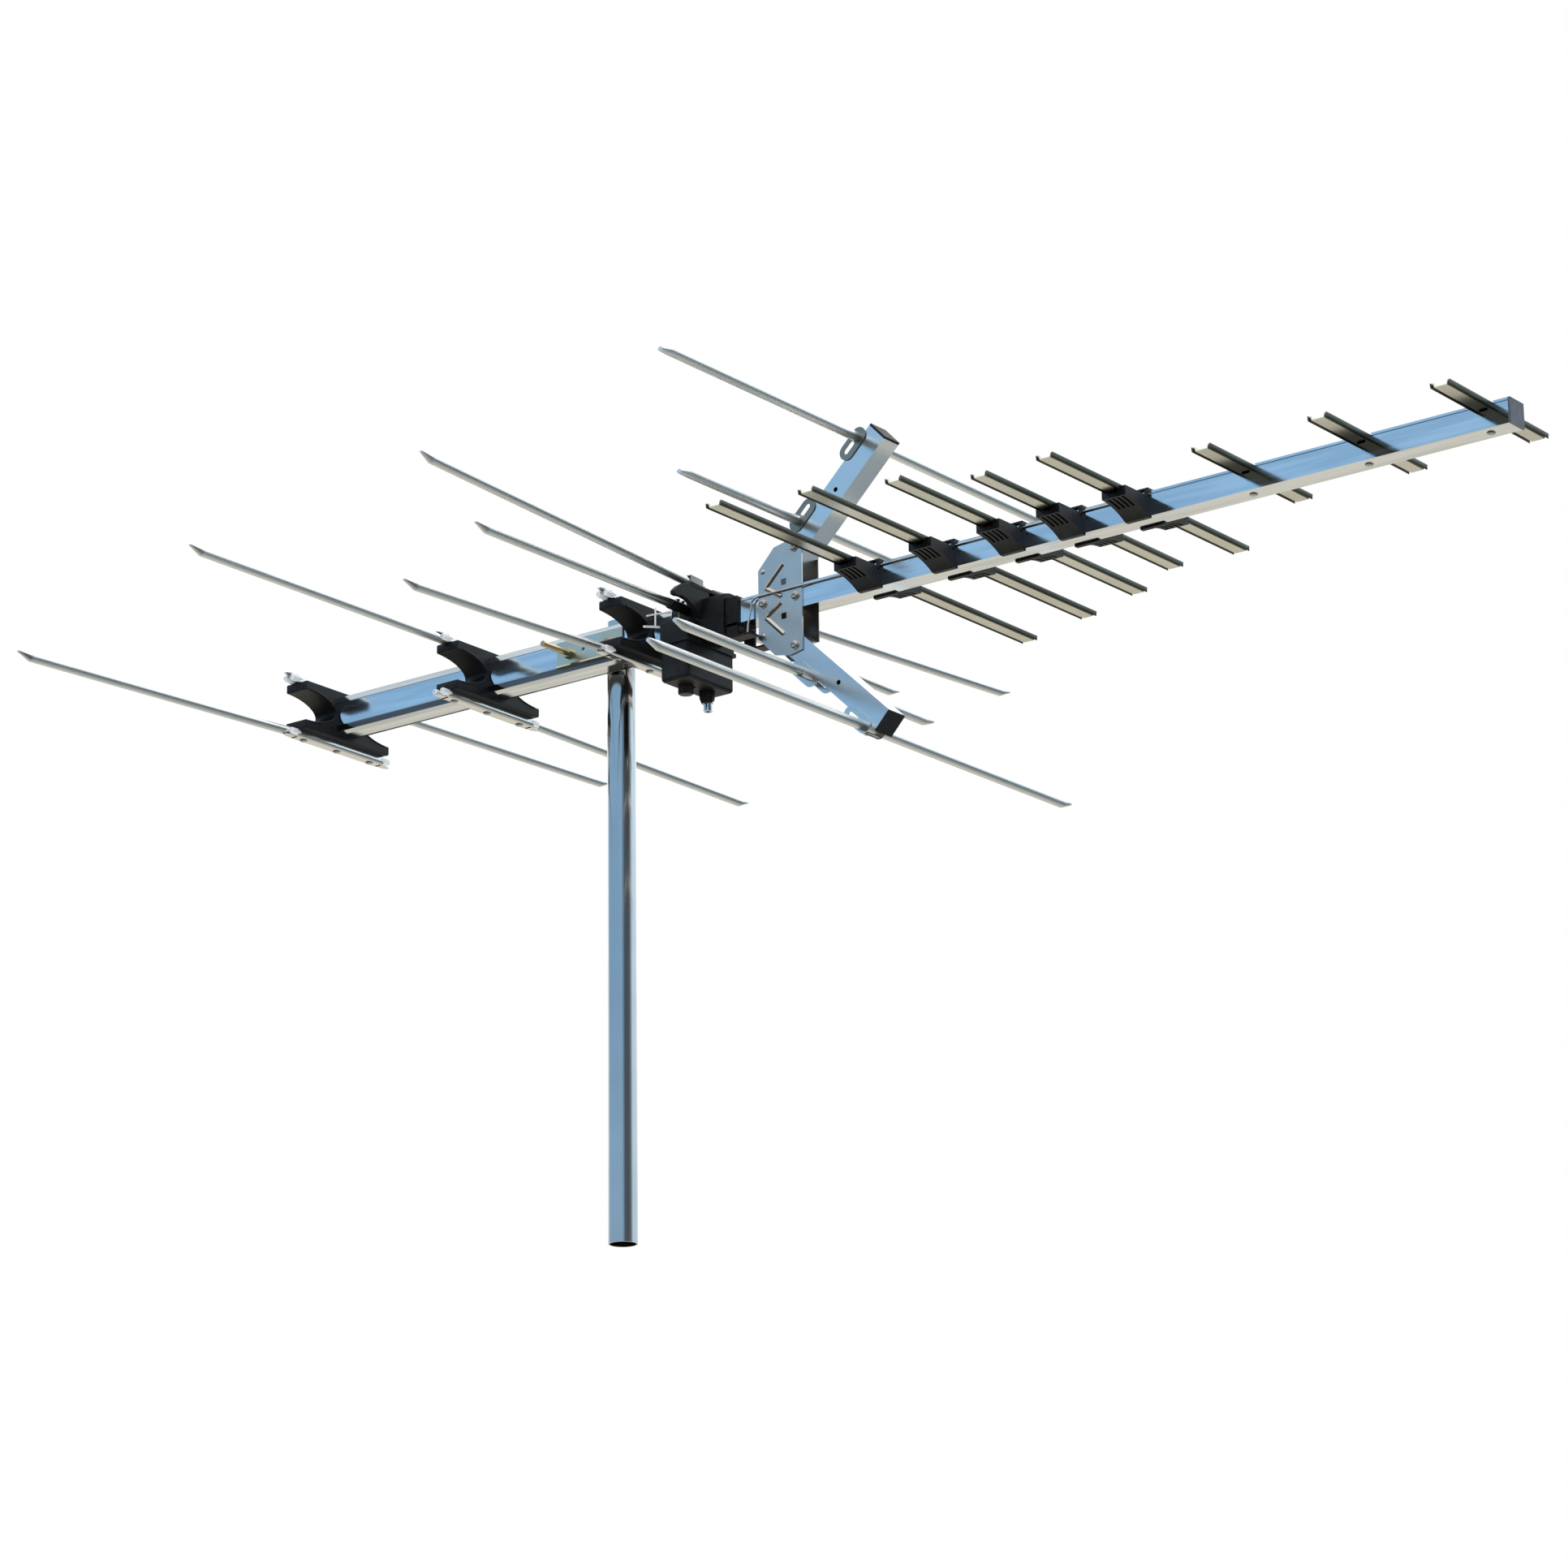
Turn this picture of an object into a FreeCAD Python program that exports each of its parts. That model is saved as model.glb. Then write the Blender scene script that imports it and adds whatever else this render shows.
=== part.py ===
import FreeCAD, Part
import math
import os

# Combination VHF and UHF television antenna with a folded-back corner reflector, on its mast tube.
# Sizes are millimetres. Stations run along the boom, +X forward, measured from the driven bracket.
# The finished pieces are moved so that the origin is the centre of the mast's cut foot.

os.makedirs("parts", exist_ok=True)

# Mast and its clamp
MAST_DIAMETER = 30.0
MAST_WALL = 1.5
MAST_STATION = -137.0
MAST_ABOVE_BOOM = 40.0
BOOM_HEIGHT = 616.0
SADDLE_THICK = 3.0
SADDLE_HEIGHT = 28.0
SADDLE_LENGTH = 72.0
CLAMP_LENGTH = 87.0
CLAMP_HEIGHT = 28.0
CLAMP_THICK = 2.0
U_BOLT_THREAD = 6.0
U_BOLT_SPAN = 55.2
U_BOLT_PAST_PLATE = {"rear": 42.0, "front": 8.0}
NUT_ACROSS = 10.0
NUT_THICK = 5.0
SPARE_HOLE_STATION = -144.6

# Rear boom, a roll-formed tube with a crease along each side
REAR_START = -515.0
REAR_END = 36.0
REAR_HEIGHT = 41.0
REAR_WIDTH = 32.0
REAR_WALL = 1.2
REAR_SIDE_FLAT = 24.0
REAR_TOP_FLAT = 16.0
CREASE_HEIGHT = 38.0
CREASE_WIDTH = 30.0
PLUG_DEPTH = 12.0
PLUG_HEAD = 2.5

# Front boom, a plain square tube
FRONT_START = 14.0
FRONT_END = 940.0
FRONT_SIDE = 25.0
FRONT_WALL = 1.2

# Brackets of the passive VHF rods
BRACKET_STATIONS = (-503.0, -291.0, -72.0)
BRACKET_THICK = 26.0
BRACKET_FLAT = 26.5
HORN_REACH = 66.0
HORN_UNDER = 18.0
WAIST_WALL = 4.0
COLLAR_WALL = 3.0
COLLAR_PAST_FACE = 7.0
CHANNEL_WIDTH = 14.4
CHANNEL_DEPTH = 7.8
CHANNEL_WALL = 1.0
CHANNEL_REACH = 82.0
FLANGE_REACH = 72.0
PIVOT_REACH = 52.0
RIVET_SHANK = 4.0
RIVET_HEAD = 8.5
RIVET_RISE = 1.8

# VHF rods: bracket, side of the boom, level, length from pivot to tip, forward sweep in degrees
VHF_ROD_DIAMETER = 9.5
VHF_ROD_WALL = 0.8
VHF_ROD_TAIL = 8.0
VHF_NIB = 20.0
PASSIVE_RODS = (
    (1, "left", "lower", 387.0, -5.3),
    (1, "right", "upper", 392.0, 2.0),
    (2, "left", "upper", 391.0, -0.7),
    (2, "right", "lower", 403.0, -1.2),
    (3, "left", "lower", 303.0, -3.9),
    (3, "right", "upper", 303.0, 0.5),
)

# Driven bracket, its rods and the balun under it
HORN_TOP = 33.5
HORN_FRONT = 13.0
HORN_THICK = 9.0
HORN_ROOT = (24.0, 4.0)
HORN_OUTLINE = ((40.0, 33.5), (56.5, 25.2), (67.0, 16.5), (67.0, 11.6), (51.0, 15.8))
DECK_REAR = -10.0
DECK_THICK = 4.0
FOLDED_ROD_LEVEL = 36.0
FOLDED_ROD_REACH = 430.0
FOLDED_RODS = {"left": (7.0, 4.3), "right": (-2.0, 6.0)}
FOLDED_PIVOT = 51.0
DRIVEN_ROD_STATION = -9.0
DRIVEN_ROD_LEVEL = 14.0
DRIVEN_ROD_REACH = 345.0
DRIVEN_ROD_INNER = 21.0
SOCKET_RADIUS = 7.0
SOCKET_REACH = 50.0
CHEEK_REAR = -28.0
CHEEK_FRONT = 8.0
CHEEK_REACH = 38.0
CHEEK_TOP = 8.0
SLEEVE_FRONT = 58.0
SLEEVE_WALL = 3.5
TRAY_LEVEL = -33.0
TRAY_THICK = 2.0
TRAY_GAP = 0.3
TRAY_REACH = 28.0
STRAP_INNER = 15.0
STRAP_OUTER = 37.0
STRAP_WALL = 1.0
STRAP_SCREW = 2.2
LID_THICK = 3.5
LID_RIM = 2.0
HOUSING_FLOOR = -65.5
HOUSING_WALL = 2.0
HOUSING_CORNER = 7.0
BOARD_THICK = 1.6
BOARD_DROP = 9.0
POST_DIAMETER = 6.0
FERRITE = (16.0, 14.0, 9.0)
FEED_WIRE = 2.0
FEED_WIRE_REACH = 30.0
PORT_STATION = -11.5
KNOB_REACH = -6.0
KNOB_DIAMETER = 20.0
KNOB_HEIGHT = 12.0
SOCKET_PORT_REACH = 19.0
BOOT_DIAMETER = 19.0
BOOT_HEIGHT = 11.5
BOOT_TAPER = 0.68
SOCKET_BODY = 11.0
THREAD_DIAMETER = 9.4
THREAD_TIP = -85.5
PIN_DIAMETER = 1.0

# Phasing wires over the corner plates
PHASING_WIRE = 2.4
PHASING_GAP = 0.3
PHASING_FOOT = 70.0
PHASING_RISE = 79.0
PHASING_LEVEL = 4.0
PHASING_BEND = 6.0

# Corner plates and reflector arms
PLATE_THICK = 1.5
PLATE_CORNERS = ((80.0, 36.0), (100.0, 57.0), (120.0, 61.0), (135.0, 58.0))
PLATE_SQUARE_HOLE = 6.5
PLATE_HOLE_PLACE = (112.0, 18.0)
PLATE_DIMPLE_PLACE = (86.0, 34.0)
PLATE_RIB = ((111.5, 37.0), (89.5, 15.6), (109.0, 3.4))
RIB_WIDTH = 5.0
RIB_HEIGHT = 1.4
PLATE_BOLT_STATIONS = (86.0, 126.7)
BOLT_DIAMETER = 5.0
BOLT_HEAD = 8.0
BOLT_HEAD_THICK = 1.9
ARM_PIVOT = (125.5, 51.8)
ARM_ANGLE = 43.5
ARM_SIDE = 25.0
ARM_WALL = 1.2
ARM_TAIL = 30.0
ARM_REACH = 143.5
CAP_THICK = 2.5
CAP_DEPTH = 10.0
ARM_HOLE_REACH = 72.0
ARM_HOLE = 5.0

# Reflector rods across the arms: distance along the arm and half length
REFLECTOR_DIAMETER = 10.0
REFLECTOR_WALL = 0.8
REFLECTOR_NIB = 28.0
REFLECTOR_RODS = {"inner": (22.2, 212.0), "outer": (ARM_REACH - 17.7, 348.5)}
CLIP_LENGTH = 26.0
CLIP_WALL = 1.2
CLIP_SLOT = 12.0

# UHF trough elements, their clamps, and the directors
ELEMENTS = ((219.0, 263.5), (310.0, 238.0), (391.0, 209.0), (461.0, 168.0), (537.0, 170.0))
ELEMENT_WIDTH = 18.7
ELEMENT_WIRE_GAP = 0.5
ELEMENT_LEVEL = 7.9
DIRECTORS = ((FRONT_END - 281.5, 90.0), (FRONT_END - 155.0, 90.0), (FRONT_END - 25.5, 90.0))
DIRECTOR_WIDTH = 20.8
DIRECTOR_LEVEL = 10.6
TROUGH_DEPTH = 6.0
TROUGH_WALL = 0.9
TROUGH_LIP = 2.5
TROUGH_FLOOR = 7.6
END_BITE = 2.5
UHF_CLAMP_LENGTH = 27.0
UHF_CLAMP_WALL = 3.0
WING_REACH = 54.5
WING_TIP = 9.5
WING_SLOTS = (-8.0, -2.7, 2.7, 8.0)
WING_SLOT = 2.6
WING_RIM = 2.2
FOOT_DROP = 1.8

V = FreeCAD.Vector
SIDES = {"left": -1.0, "right": 1.0}
MAST_AXIS = REAR_WIDTH / 2 + SADDLE_THICK + MAST_DIAMETER / 2
TO_MAST_FOOT = V(-MAST_STATION, -MAST_AXIS, BOOM_HEIGHT)


def axis_point(axis, along, first, second):
    """Point from its place along one axis and its other two coordinates in x, y, z order."""
    if axis == "x":
        return V(along, first, second)
    if axis == "y":
        return V(first, along, second)
    return V(first, second, along)


def prism(points, axis, start, end):
    """Straight-sided solid with the outline points, from start to end along the axis."""
    corners = [axis_point(axis, start, first, second) for first, second in points]
    face = Part.Face(Part.makePolygon(corners + corners[:1]))
    return face.extrude(axis_point(axis, end - start, 0.0, 0.0))


def box(x_range, y_range, z_range):
    """Box between two places along each axis, in rising order."""
    low = V(x_range[0], y_range[0], z_range[0])
    return Part.makeBox(x_range[1] - x_range[0], y_range[1] - y_range[0], z_range[1] - z_range[0], low)


def cylinder(start, end, diameter):
    """Round bar between two points."""
    return Part.makeCylinder(diameter / 2, (end - start).Length, start, end - start)


def both_sides(shape):
    """The shape and its mirror image across the boom."""
    return [shape, shape.mirror(V(0, 0, 0), V(0, 1, 0))]


def both_levels(shape):
    """The shape and its mirror image below the boom."""
    return [shape, shape.mirror(V(0, 0, 0), V(0, 0, 1))]


def hexagon(across, centre, axis, start, end):
    """Hexagonal prism with the given size across its flats."""
    corner = across / 2 / math.cos(math.radians(30))
    points = []
    for index in range(6):
        angle = math.radians(60 * index)
        points.append((centre[0] + corner * math.cos(angle), centre[1] + corner * math.sin(angle)))
    return prism(points, axis, start, end)


def export(name, shapes):
    """Write one node, moved from the boom's frame to the mast's foot."""
    solids = [solid for shape in shapes for solid in shape.Solids]
    node = solids[0] if len(solids) == 1 else Part.makeCompound(solids)
    node = node.copy()
    node.translate(TO_MAST_FOOT)
    node.exportStep("parts/" + name + ".step")


def rear_section(start, end, grow=0.0):
    """Solid with the rear boom's creased outline, grown or shrunk all round."""
    quarter = [
        (REAR_WIDTH / 2, REAR_SIDE_FLAT / 2),
        (CREASE_WIDTH / 2, CREASE_HEIGHT / 2),
        (REAR_TOP_FLAT / 2, REAR_HEIGHT / 2),
    ]
    upper = quarter + [(-y, z) for y, z in reversed(quarter)]
    points = upper + [(y, -z) for y, z in reversed(upper)]
    corners = [V(start, y, z) for y, z in points]
    face = Part.Face(Part.makePolygon(corners + corners[:1]))
    if grow:
        face = face.makeOffset2D(grow, join=2)
    return face.extrude(V(end - start, 0, 0))


def square_bar(start, end, side):
    """Square bar along the boom's axis."""
    half = side / 2
    return box((start, end), (-half, half), (-half, half))


def nib_cut(tip, nib, diameter):
    """What is cut from under a rod along +Y to leave its long slanted nib."""
    low = -diameter / 2
    start = V(0, tip - nib, low)
    middle = V(0, tip - 0.42 * nib, 0.42 * low)
    point = V(0, tip, -0.8 * low)
    far = V(0, tip + nib, -0.8 * low)
    corner = V(0, tip + nib, 3 * low)
    below = V(0, tip - nib, 3 * low)
    edges = [Part.Arc(start, middle, point).toShape()]
    for first, second in ((point, far), (far, corner), (corner, below), (below, start)):
        edges.append(Part.makeLine(first, second))
    face = Part.Face(Part.Wire(edges))
    face.translate(V(-diameter, 0, 0))
    return face.extrude(V(2 * diameter, 0, 0))


def tube_rod(inner, tip, nib, diameter, wall):
    """Tube along +Y with an open inner end and a closed, slanted nib."""
    bar = cylinder(V(0, inner, 0), V(0, tip, 0), diameter)
    bore = cylinder(V(0, inner - 1, 0), V(0, tip - nib - wall, 0), diameter - 2 * wall)
    return bar.cut(bore).cut(nib_cut(tip, nib, diameter))


def swept_rod(station, level, pivot, tail, reach, side, sweep):
    """VHF rod pinned beside the boom and swept forward by an angle."""
    rod = tube_rod(-tail, reach, VHF_NIB, VHF_ROD_DIAMETER, VHF_ROD_WALL)
    rod.rotate(V(0, 0, 0), V(0, 0, 1), -sweep)
    if side == "left":
        rod = rod.mirror(V(0, 0, 0), V(0, 1, 0))
    rod.translate(V(station, SIDES[side] * pivot, level))
    return rod


def rivet(x, y, outer, inner):
    """Upright rivet, its raised head on the outer level and its shank down to the inner level."""
    rise = math.copysign(RIVET_RISE, outer - inner)
    shank = RIVET_SHANK / 2
    head = RIVET_HEAD / 2
    points = [(0, inner), (shank, inner), (shank, outer), (head, outer), (head * 0.9, outer + rise / 2),
              (head * 0.5, outer + rise), (0, outer + rise)]
    corners = [V(x + radius, y, level) for radius, level in points]
    face = Part.Face(Part.makePolygon(corners + corners[:1]))
    return face.revolve(V(x, y, 0), V(0, 0, 1), 360)


def build_mast():
    """Mast tube, cut flat at its foot, with the two booms' clamp round it."""
    foot = -BOOM_HEIGHT
    top = MAST_ABOVE_BOOM
    outer = cylinder(V(MAST_STATION, MAST_AXIS, foot), V(MAST_STATION, MAST_AXIS, top), MAST_DIAMETER)
    inner = MAST_DIAMETER - 2 * MAST_WALL
    bore = cylinder(V(MAST_STATION, MAST_AXIS, foot), V(MAST_STATION, MAST_AXIS, top), inner)
    export("mast", [outer.cut(bore)])


def build_mast_clamp():
    """U-bolt round the mast, its jaw plate, the plate on the boom's other side and the nuts."""
    half_span = U_BOLT_SPAN / 2
    bow_centre = MAST_AXIS + MAST_DIAMETER / 2 - (half_span - U_BOLT_THREAD / 2)
    plate_face = -REAR_WIDTH / 2 - CLAMP_THICK
    end = Part.Wire(Part.makeCircle(U_BOLT_THREAD / 2, V(MAST_STATION + half_span, bow_centre, 0), V(0, 1, 0)))
    bolt = Part.Face(end).revolve(V(MAST_STATION, bow_centre, 0), V(0, 0, 1), 180)
    for sign, leg in ((-1, "rear"), (1, "front")):
        station = MAST_STATION + sign * half_span
        leg_tip = plate_face - U_BOLT_PAST_PLATE[leg]
        bolt = bolt.fuse(cylinder(V(station, leg_tip, 0), V(station, bow_centre, 0), U_BOLT_THREAD))
    export("mast_u_bolt", [bolt.removeSplitter()])

    base = REAR_WIDTH / 2
    inner = base + SADDLE_THICK * 2 / 3
    root = MAST_DIAMETER / 2 * math.sqrt(2) - (MAST_AXIS - inner)
    jaw_rise = MAST_DIAMETER * 0.3
    jaw_wall = SADDLE_THICK * 1.2
    half_length = SADDLE_LENGTH / 2
    right = [(half_length, base), (half_length, inner), (root + jaw_wall, inner),
             (root + jaw_rise + jaw_wall / 2, inner + jaw_rise - jaw_wall / 2),
             (root + jaw_rise, inner + jaw_rise), (root, inner)]
    points = right + [(-x, y) for x, y in reversed(right)]
    points = [(MAST_STATION + x, y) for x, y in points]
    saddle = prism(points, "z", -SADDLE_HEIGHT / 2, SADDLE_HEIGHT / 2)
    for sign in (-1, 1):
        saddle = saddle.cut(clamp_hole(MAST_STATION + sign * half_span))
    export("mast_saddle", [saddle])

    half = CLAMP_HEIGHT / 2
    face = -REAR_WIDTH / 2
    bend = CLAMP_THICK * 1.5
    side = [(face, half), (face - CLAMP_THICK, half), (face - CLAMP_THICK, -half + bend),
            (face - CLAMP_THICK - bend, -half), (face - bend, -half), (face, -half + bend)]
    plate = prism(side, "x", MAST_STATION - CLAMP_LENGTH / 2, MAST_STATION + CLAMP_LENGTH / 2)
    for station in (MAST_STATION - half_span, MAST_STATION + half_span, SPARE_HOLE_STATION):
        plate = plate.cut(clamp_hole(station))
    export("mast_clamp_plate", [plate])

    nuts = []
    for sign in (-1, 1):
        station = MAST_STATION + sign * half_span
        nut = hexagon(NUT_ACROSS, (station, 0), "y", plate_face - NUT_THICK, plate_face)
        nuts.append(nut.cut(clamp_hole(station)))
    export("mast_clamp_nuts", nuts)


def clamp_hole(station):
    """Hole for one leg of the mast clamp's U-bolt, right across the boom."""
    return cylinder(V(station, -MAST_AXIS * 2, 0), V(station, MAST_AXIS, 0), U_BOLT_THREAD)


def build_rear_boom():
    """Creased tube with the U-bolt's holes, and the plug in its rear end."""
    boom = rear_section(REAR_START, REAR_END).cut(rear_section(REAR_START, REAR_END, -REAR_WALL))
    for sign in (-1, 1):
        boom = boom.cut(clamp_hole(MAST_STATION + sign * U_BOLT_SPAN / 2))
    export("rear_boom", [boom])

    plug = rear_section(REAR_START - PLUG_HEAD, REAR_START)
    spigot = rear_section(REAR_START, REAR_START + PLUG_DEPTH, -REAR_WALL)
    hollow = rear_section(REAR_START, REAR_START + PLUG_DEPTH, -REAR_WALL - PLUG_HEAD)
    export("rear_boom_plug", [plug.fuse(spigot.cut(hollow)).removeSplitter()])

    liner = rear_section(FRONT_START, REAR_END, -REAR_WALL)
    export("boom_joint_liner", [liner.cut(square_bar(FRONT_START, REAR_END, FRONT_SIDE))])


def trough_points(width, level):
    """Half outline of a trough element: lips, sloped sides and a flat floor, wall all round."""
    half = width / 2
    floor = TROUGH_FLOOR / 2
    low = level - TROUGH_DEPTH
    slope = TROUGH_WALL * 0.6
    under = [(half, level - TROUGH_WALL), (half - TROUGH_LIP - slope, level - TROUGH_WALL), (floor, low)]
    over = [(floor - slope, low + TROUGH_WALL), (half - TROUGH_LIP, level), (half, level)]
    return under, over


def trough(station, width, level, inner, outer):
    """Trough element across the boom, its outer end hollowed between the lips."""
    under, over = trough_points(width, level)
    points = under + [(-x, z) for x, z in reversed(under)]
    points += [(-x, z) for x, z in reversed(over)] + over
    points = [(station + x, z) for x, z in points]
    half = width / 2
    radius = (half ** 2 + END_BITE ** 2) / (2 * END_BITE)
    bar = prism(points, "y", inner, outer)
    for end in (inner, outer):
        if abs(end) > WING_REACH:
            away = math.copysign(radius - END_BITE, end)
            low = V(station, end + away, level - 2 * TROUGH_DEPTH)
            bar = bar.cut(Part.makeCylinder(radius, 3 * TROUGH_DEPTH, low))
    return bar


def trough_bed(station, width, level, reach):
    """Space that a trough element fills, open to above, across the boom."""
    under, over = trough_points(width, level)
    right = [(x, z) for x, z in under]
    top = level + TROUGH_DEPTH
    points = right + [(-x, z) for x, z in reversed(right)] + [(-width / 2, top), (width / 2, top)]
    points = [(station + x, z) for x, z in points]
    return prism(points, "y", -reach, reach)


def build_front_boom():
    """Square tube, notched for its directors, and its end cap."""
    boom = square_bar(FRONT_START, FRONT_END, FRONT_SIDE)
    boom = boom.cut(square_bar(FRONT_START, FRONT_END, FRONT_SIDE - 2 * FRONT_WALL))
    for station, reach in DIRECTORS:
        boom = boom.cut(trough_bed(station, DIRECTOR_WIDTH, DIRECTOR_LEVEL, FRONT_SIDE))
        boom = boom.cut(rivet_hole(station))
    for station in PLATE_BOLT_STATIONS:
        boom = boom.cut(plate_bolt_shank(station, 0.0))
    export("front_boom", [boom])
    export("front_boom_cap", [end_cap(FRONT_END, FRONT_SIDE, FRONT_WALL)])


def end_cap(end, side, wall):
    """Square end cap with a hollow spigot inside the tube."""
    head = square_bar(end, end + CAP_THICK, side)
    spigot = square_bar(end - CAP_DEPTH, end, side - 2 * wall)
    hollow = square_bar(end - CAP_DEPTH, end, side - 4 * wall)
    return head.fuse(spigot.cut(hollow)).removeSplitter()


def rivet_hole(station):
    """Hole down through a director and the boom's floor."""
    return cylinder(V(station, 0, -FRONT_SIDE), V(station, 0, FRONT_SIDE), RIVET_SHANK)


def build_directors():
    """One-piece troughs seated in the boom's notches."""
    for number, (station, reach) in enumerate(DIRECTORS, 1):
        bar = trough(station, DIRECTOR_WIDTH, DIRECTOR_LEVEL, -reach, reach)
        export("director_" + str(number), [bar.cut(rivet_hole(station))])


def director_rivets():
    """A rivet under each director, through the boom's floor and up through the trough."""
    rivets = []
    for station, reach in DIRECTORS:
        floor = DIRECTOR_LEVEL - TROUGH_DEPTH + TROUGH_WALL
        tail = cylinder(V(station, 0, floor), V(station, 0, floor + RIVET_RISE / 2), RIVET_SHANK * 1.6)
        rivets.append(rivet(station, 0, -FRONT_SIDE / 2, floor).fuse(tail).removeSplitter())
    return rivets


def uhf_clamp(station):
    """Clamp over the front boom: saddle, hooked cheeks, and a wing each side under the trough."""
    half = FRONT_SIDE / 2
    cheek = half + UHF_CLAMP_WALL
    lip_under = ELEMENT_LEVEL - TROUGH_WALL
    hook = half - UHF_CLAMP_WALL * 0.7
    foot = -half - FOOT_DROP
    start = V(0, cheek, foot)
    low = V(0, WING_REACH, lip_under - WING_TIP)
    middle = V(0, cheek + 0.36 * (WING_REACH - cheek), foot + 0.58 * (low.z - foot))
    edges = [Part.Arc(start, middle, low).toShape()]
    points = [low, V(0, WING_REACH, lip_under), V(0, cheek + 1, lip_under), V(0, cheek, lip_under + 2),
              V(0, cheek, cheek), V(0, 0, cheek), V(0, 0, half), V(0, half, half), V(0, half, -half),
              V(0, hook, -half), V(0, hook, foot), start]
    for first, second in zip(points, points[1:]):
        edges.append(Part.makeLine(first, second))
    outline = Part.Face(Part.Wire(edges))
    outline.translate(V(station - UHF_CLAMP_LENGTH / 2, 0, 0))
    wing = outline.extrude(V(UHF_CLAMP_LENGTH, 0, 0))
    for slot in wing_slots(station, cheek):
        wing = wing.cut(slot)
    clamp = wing.fuse(wing.mirror(V(0, 0, 0), V(0, 1, 0))).removeSplitter()
    return clamp.cut(trough_bed(station, ELEMENT_WIDTH, ELEMENT_LEVEL, WING_REACH + 1))


def wing_slots(station, cheek):
    """Slots up into a wing's curved underside, which leave ribs along it."""
    roof = ELEMENT_LEVEL - TROUGH_DEPTH - WING_RIM
    inner = cheek + (WING_REACH - cheek) * 0.42
    slots = []
    for offset in WING_SLOTS:
        x = station + offset
        slots.append(box((x - WING_SLOT / 2, x + WING_SLOT / 2), (inner, WING_REACH - WING_RIM),
                         (-FRONT_SIDE, roof)))
    return slots


def build_elements():
    """The UHF elements, two halves each, on their clamps."""
    for number, (station, reach) in enumerate(ELEMENTS, 1):
        halves = []
        inner = phasing_reach() + PHASING_WIRE / 2 + ELEMENT_WIRE_GAP
        for side in SIDES.values():
            halves.append(trough(station, ELEMENT_WIDTH, ELEMENT_LEVEL, side * inner, side * reach))
        export("uhf_element_" + str(number), halves)
        clamp = uhf_clamp(station)
        for wire in both_sides(phasing_wire()):
            clamp = clamp.cut(wire)
        export("uhf_clamp_" + str(number), [clamp])


def element_bracket(station):
    """Moulded hourglass insulator: two horns each side, a round waist and a collar on the boom."""
    half = BRACKET_THICK / 2
    rear = station - half
    front = station + half
    body = box((rear, front), (-HORN_REACH, HORN_REACH), (-BRACKET_FLAT, BRACKET_FLAT))
    depth = HORN_REACH - REAR_WIDTH / 2 - WAIST_WALL
    outline = Part.Ellipse(V(0, 0, 0), depth, HORN_UNDER)
    recess = Part.Face(Part.Wire(outline.toShape())).extrude(V(0, 0, BRACKET_THICK))
    recess.rotate(V(0, 0, 0), V(1, 0, 0), 90)
    recess.rotate(V(0, 0, 0), V(0, 0, 1), 90)
    recess.translate(V(rear, HORN_REACH, 0))
    for shape in both_sides(recess):
        body = body.cut(shape)
    upright = [edge for edge in body.Edges if abs(abs(edge.CenterOfMass.y) - HORN_REACH) < 0.01
               and abs(edge.CenterOfMass.x - station) < 0.01]
    body = body.makeFillet((BRACKET_FLAT - HORN_UNDER) * 0.35, upright)
    collar = rear_section(rear - COLLAR_PAST_FACE, front + COLLAR_PAST_FACE, COLLAR_WALL)
    body = body.fuse(collar).removeSplitter()
    groove_half = CHANNEL_WIDTH / 2 - CHANNEL_WALL
    rod_bottom = channel_level() - CHANNEL_WALL - VHF_ROD_DIAMETER
    groove = box((station - groove_half, station + groove_half),
                 (PIVOT_REACH - VHF_ROD_TAIL - 1, HORN_REACH + 1), (rod_bottom - 0.3, BRACKET_FLAT + 1))
    for side_groove in both_sides(groove):
        for shape in both_levels(side_groove):
            body = body.cut(shape)
    body = body.cut(rear_section(rear - COLLAR_PAST_FACE, front + COLLAR_PAST_FACE))
    for y in (-PIVOT_REACH, 0.0, PIVOT_REACH):
        inner = REAR_HEIGHT / 2 if y == 0 else HORN_UNDER
        for shape in both_levels(cylinder(V(station, y, inner), V(station, y, 2 * BRACKET_FLAT), RIVET_SHANK)):
            body = body.cut(shape)
    return body


def channel_level():
    """Level of a channel's outer face above the boom's axis."""
    return BRACKET_FLAT + CHANNEL_DEPTH


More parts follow.
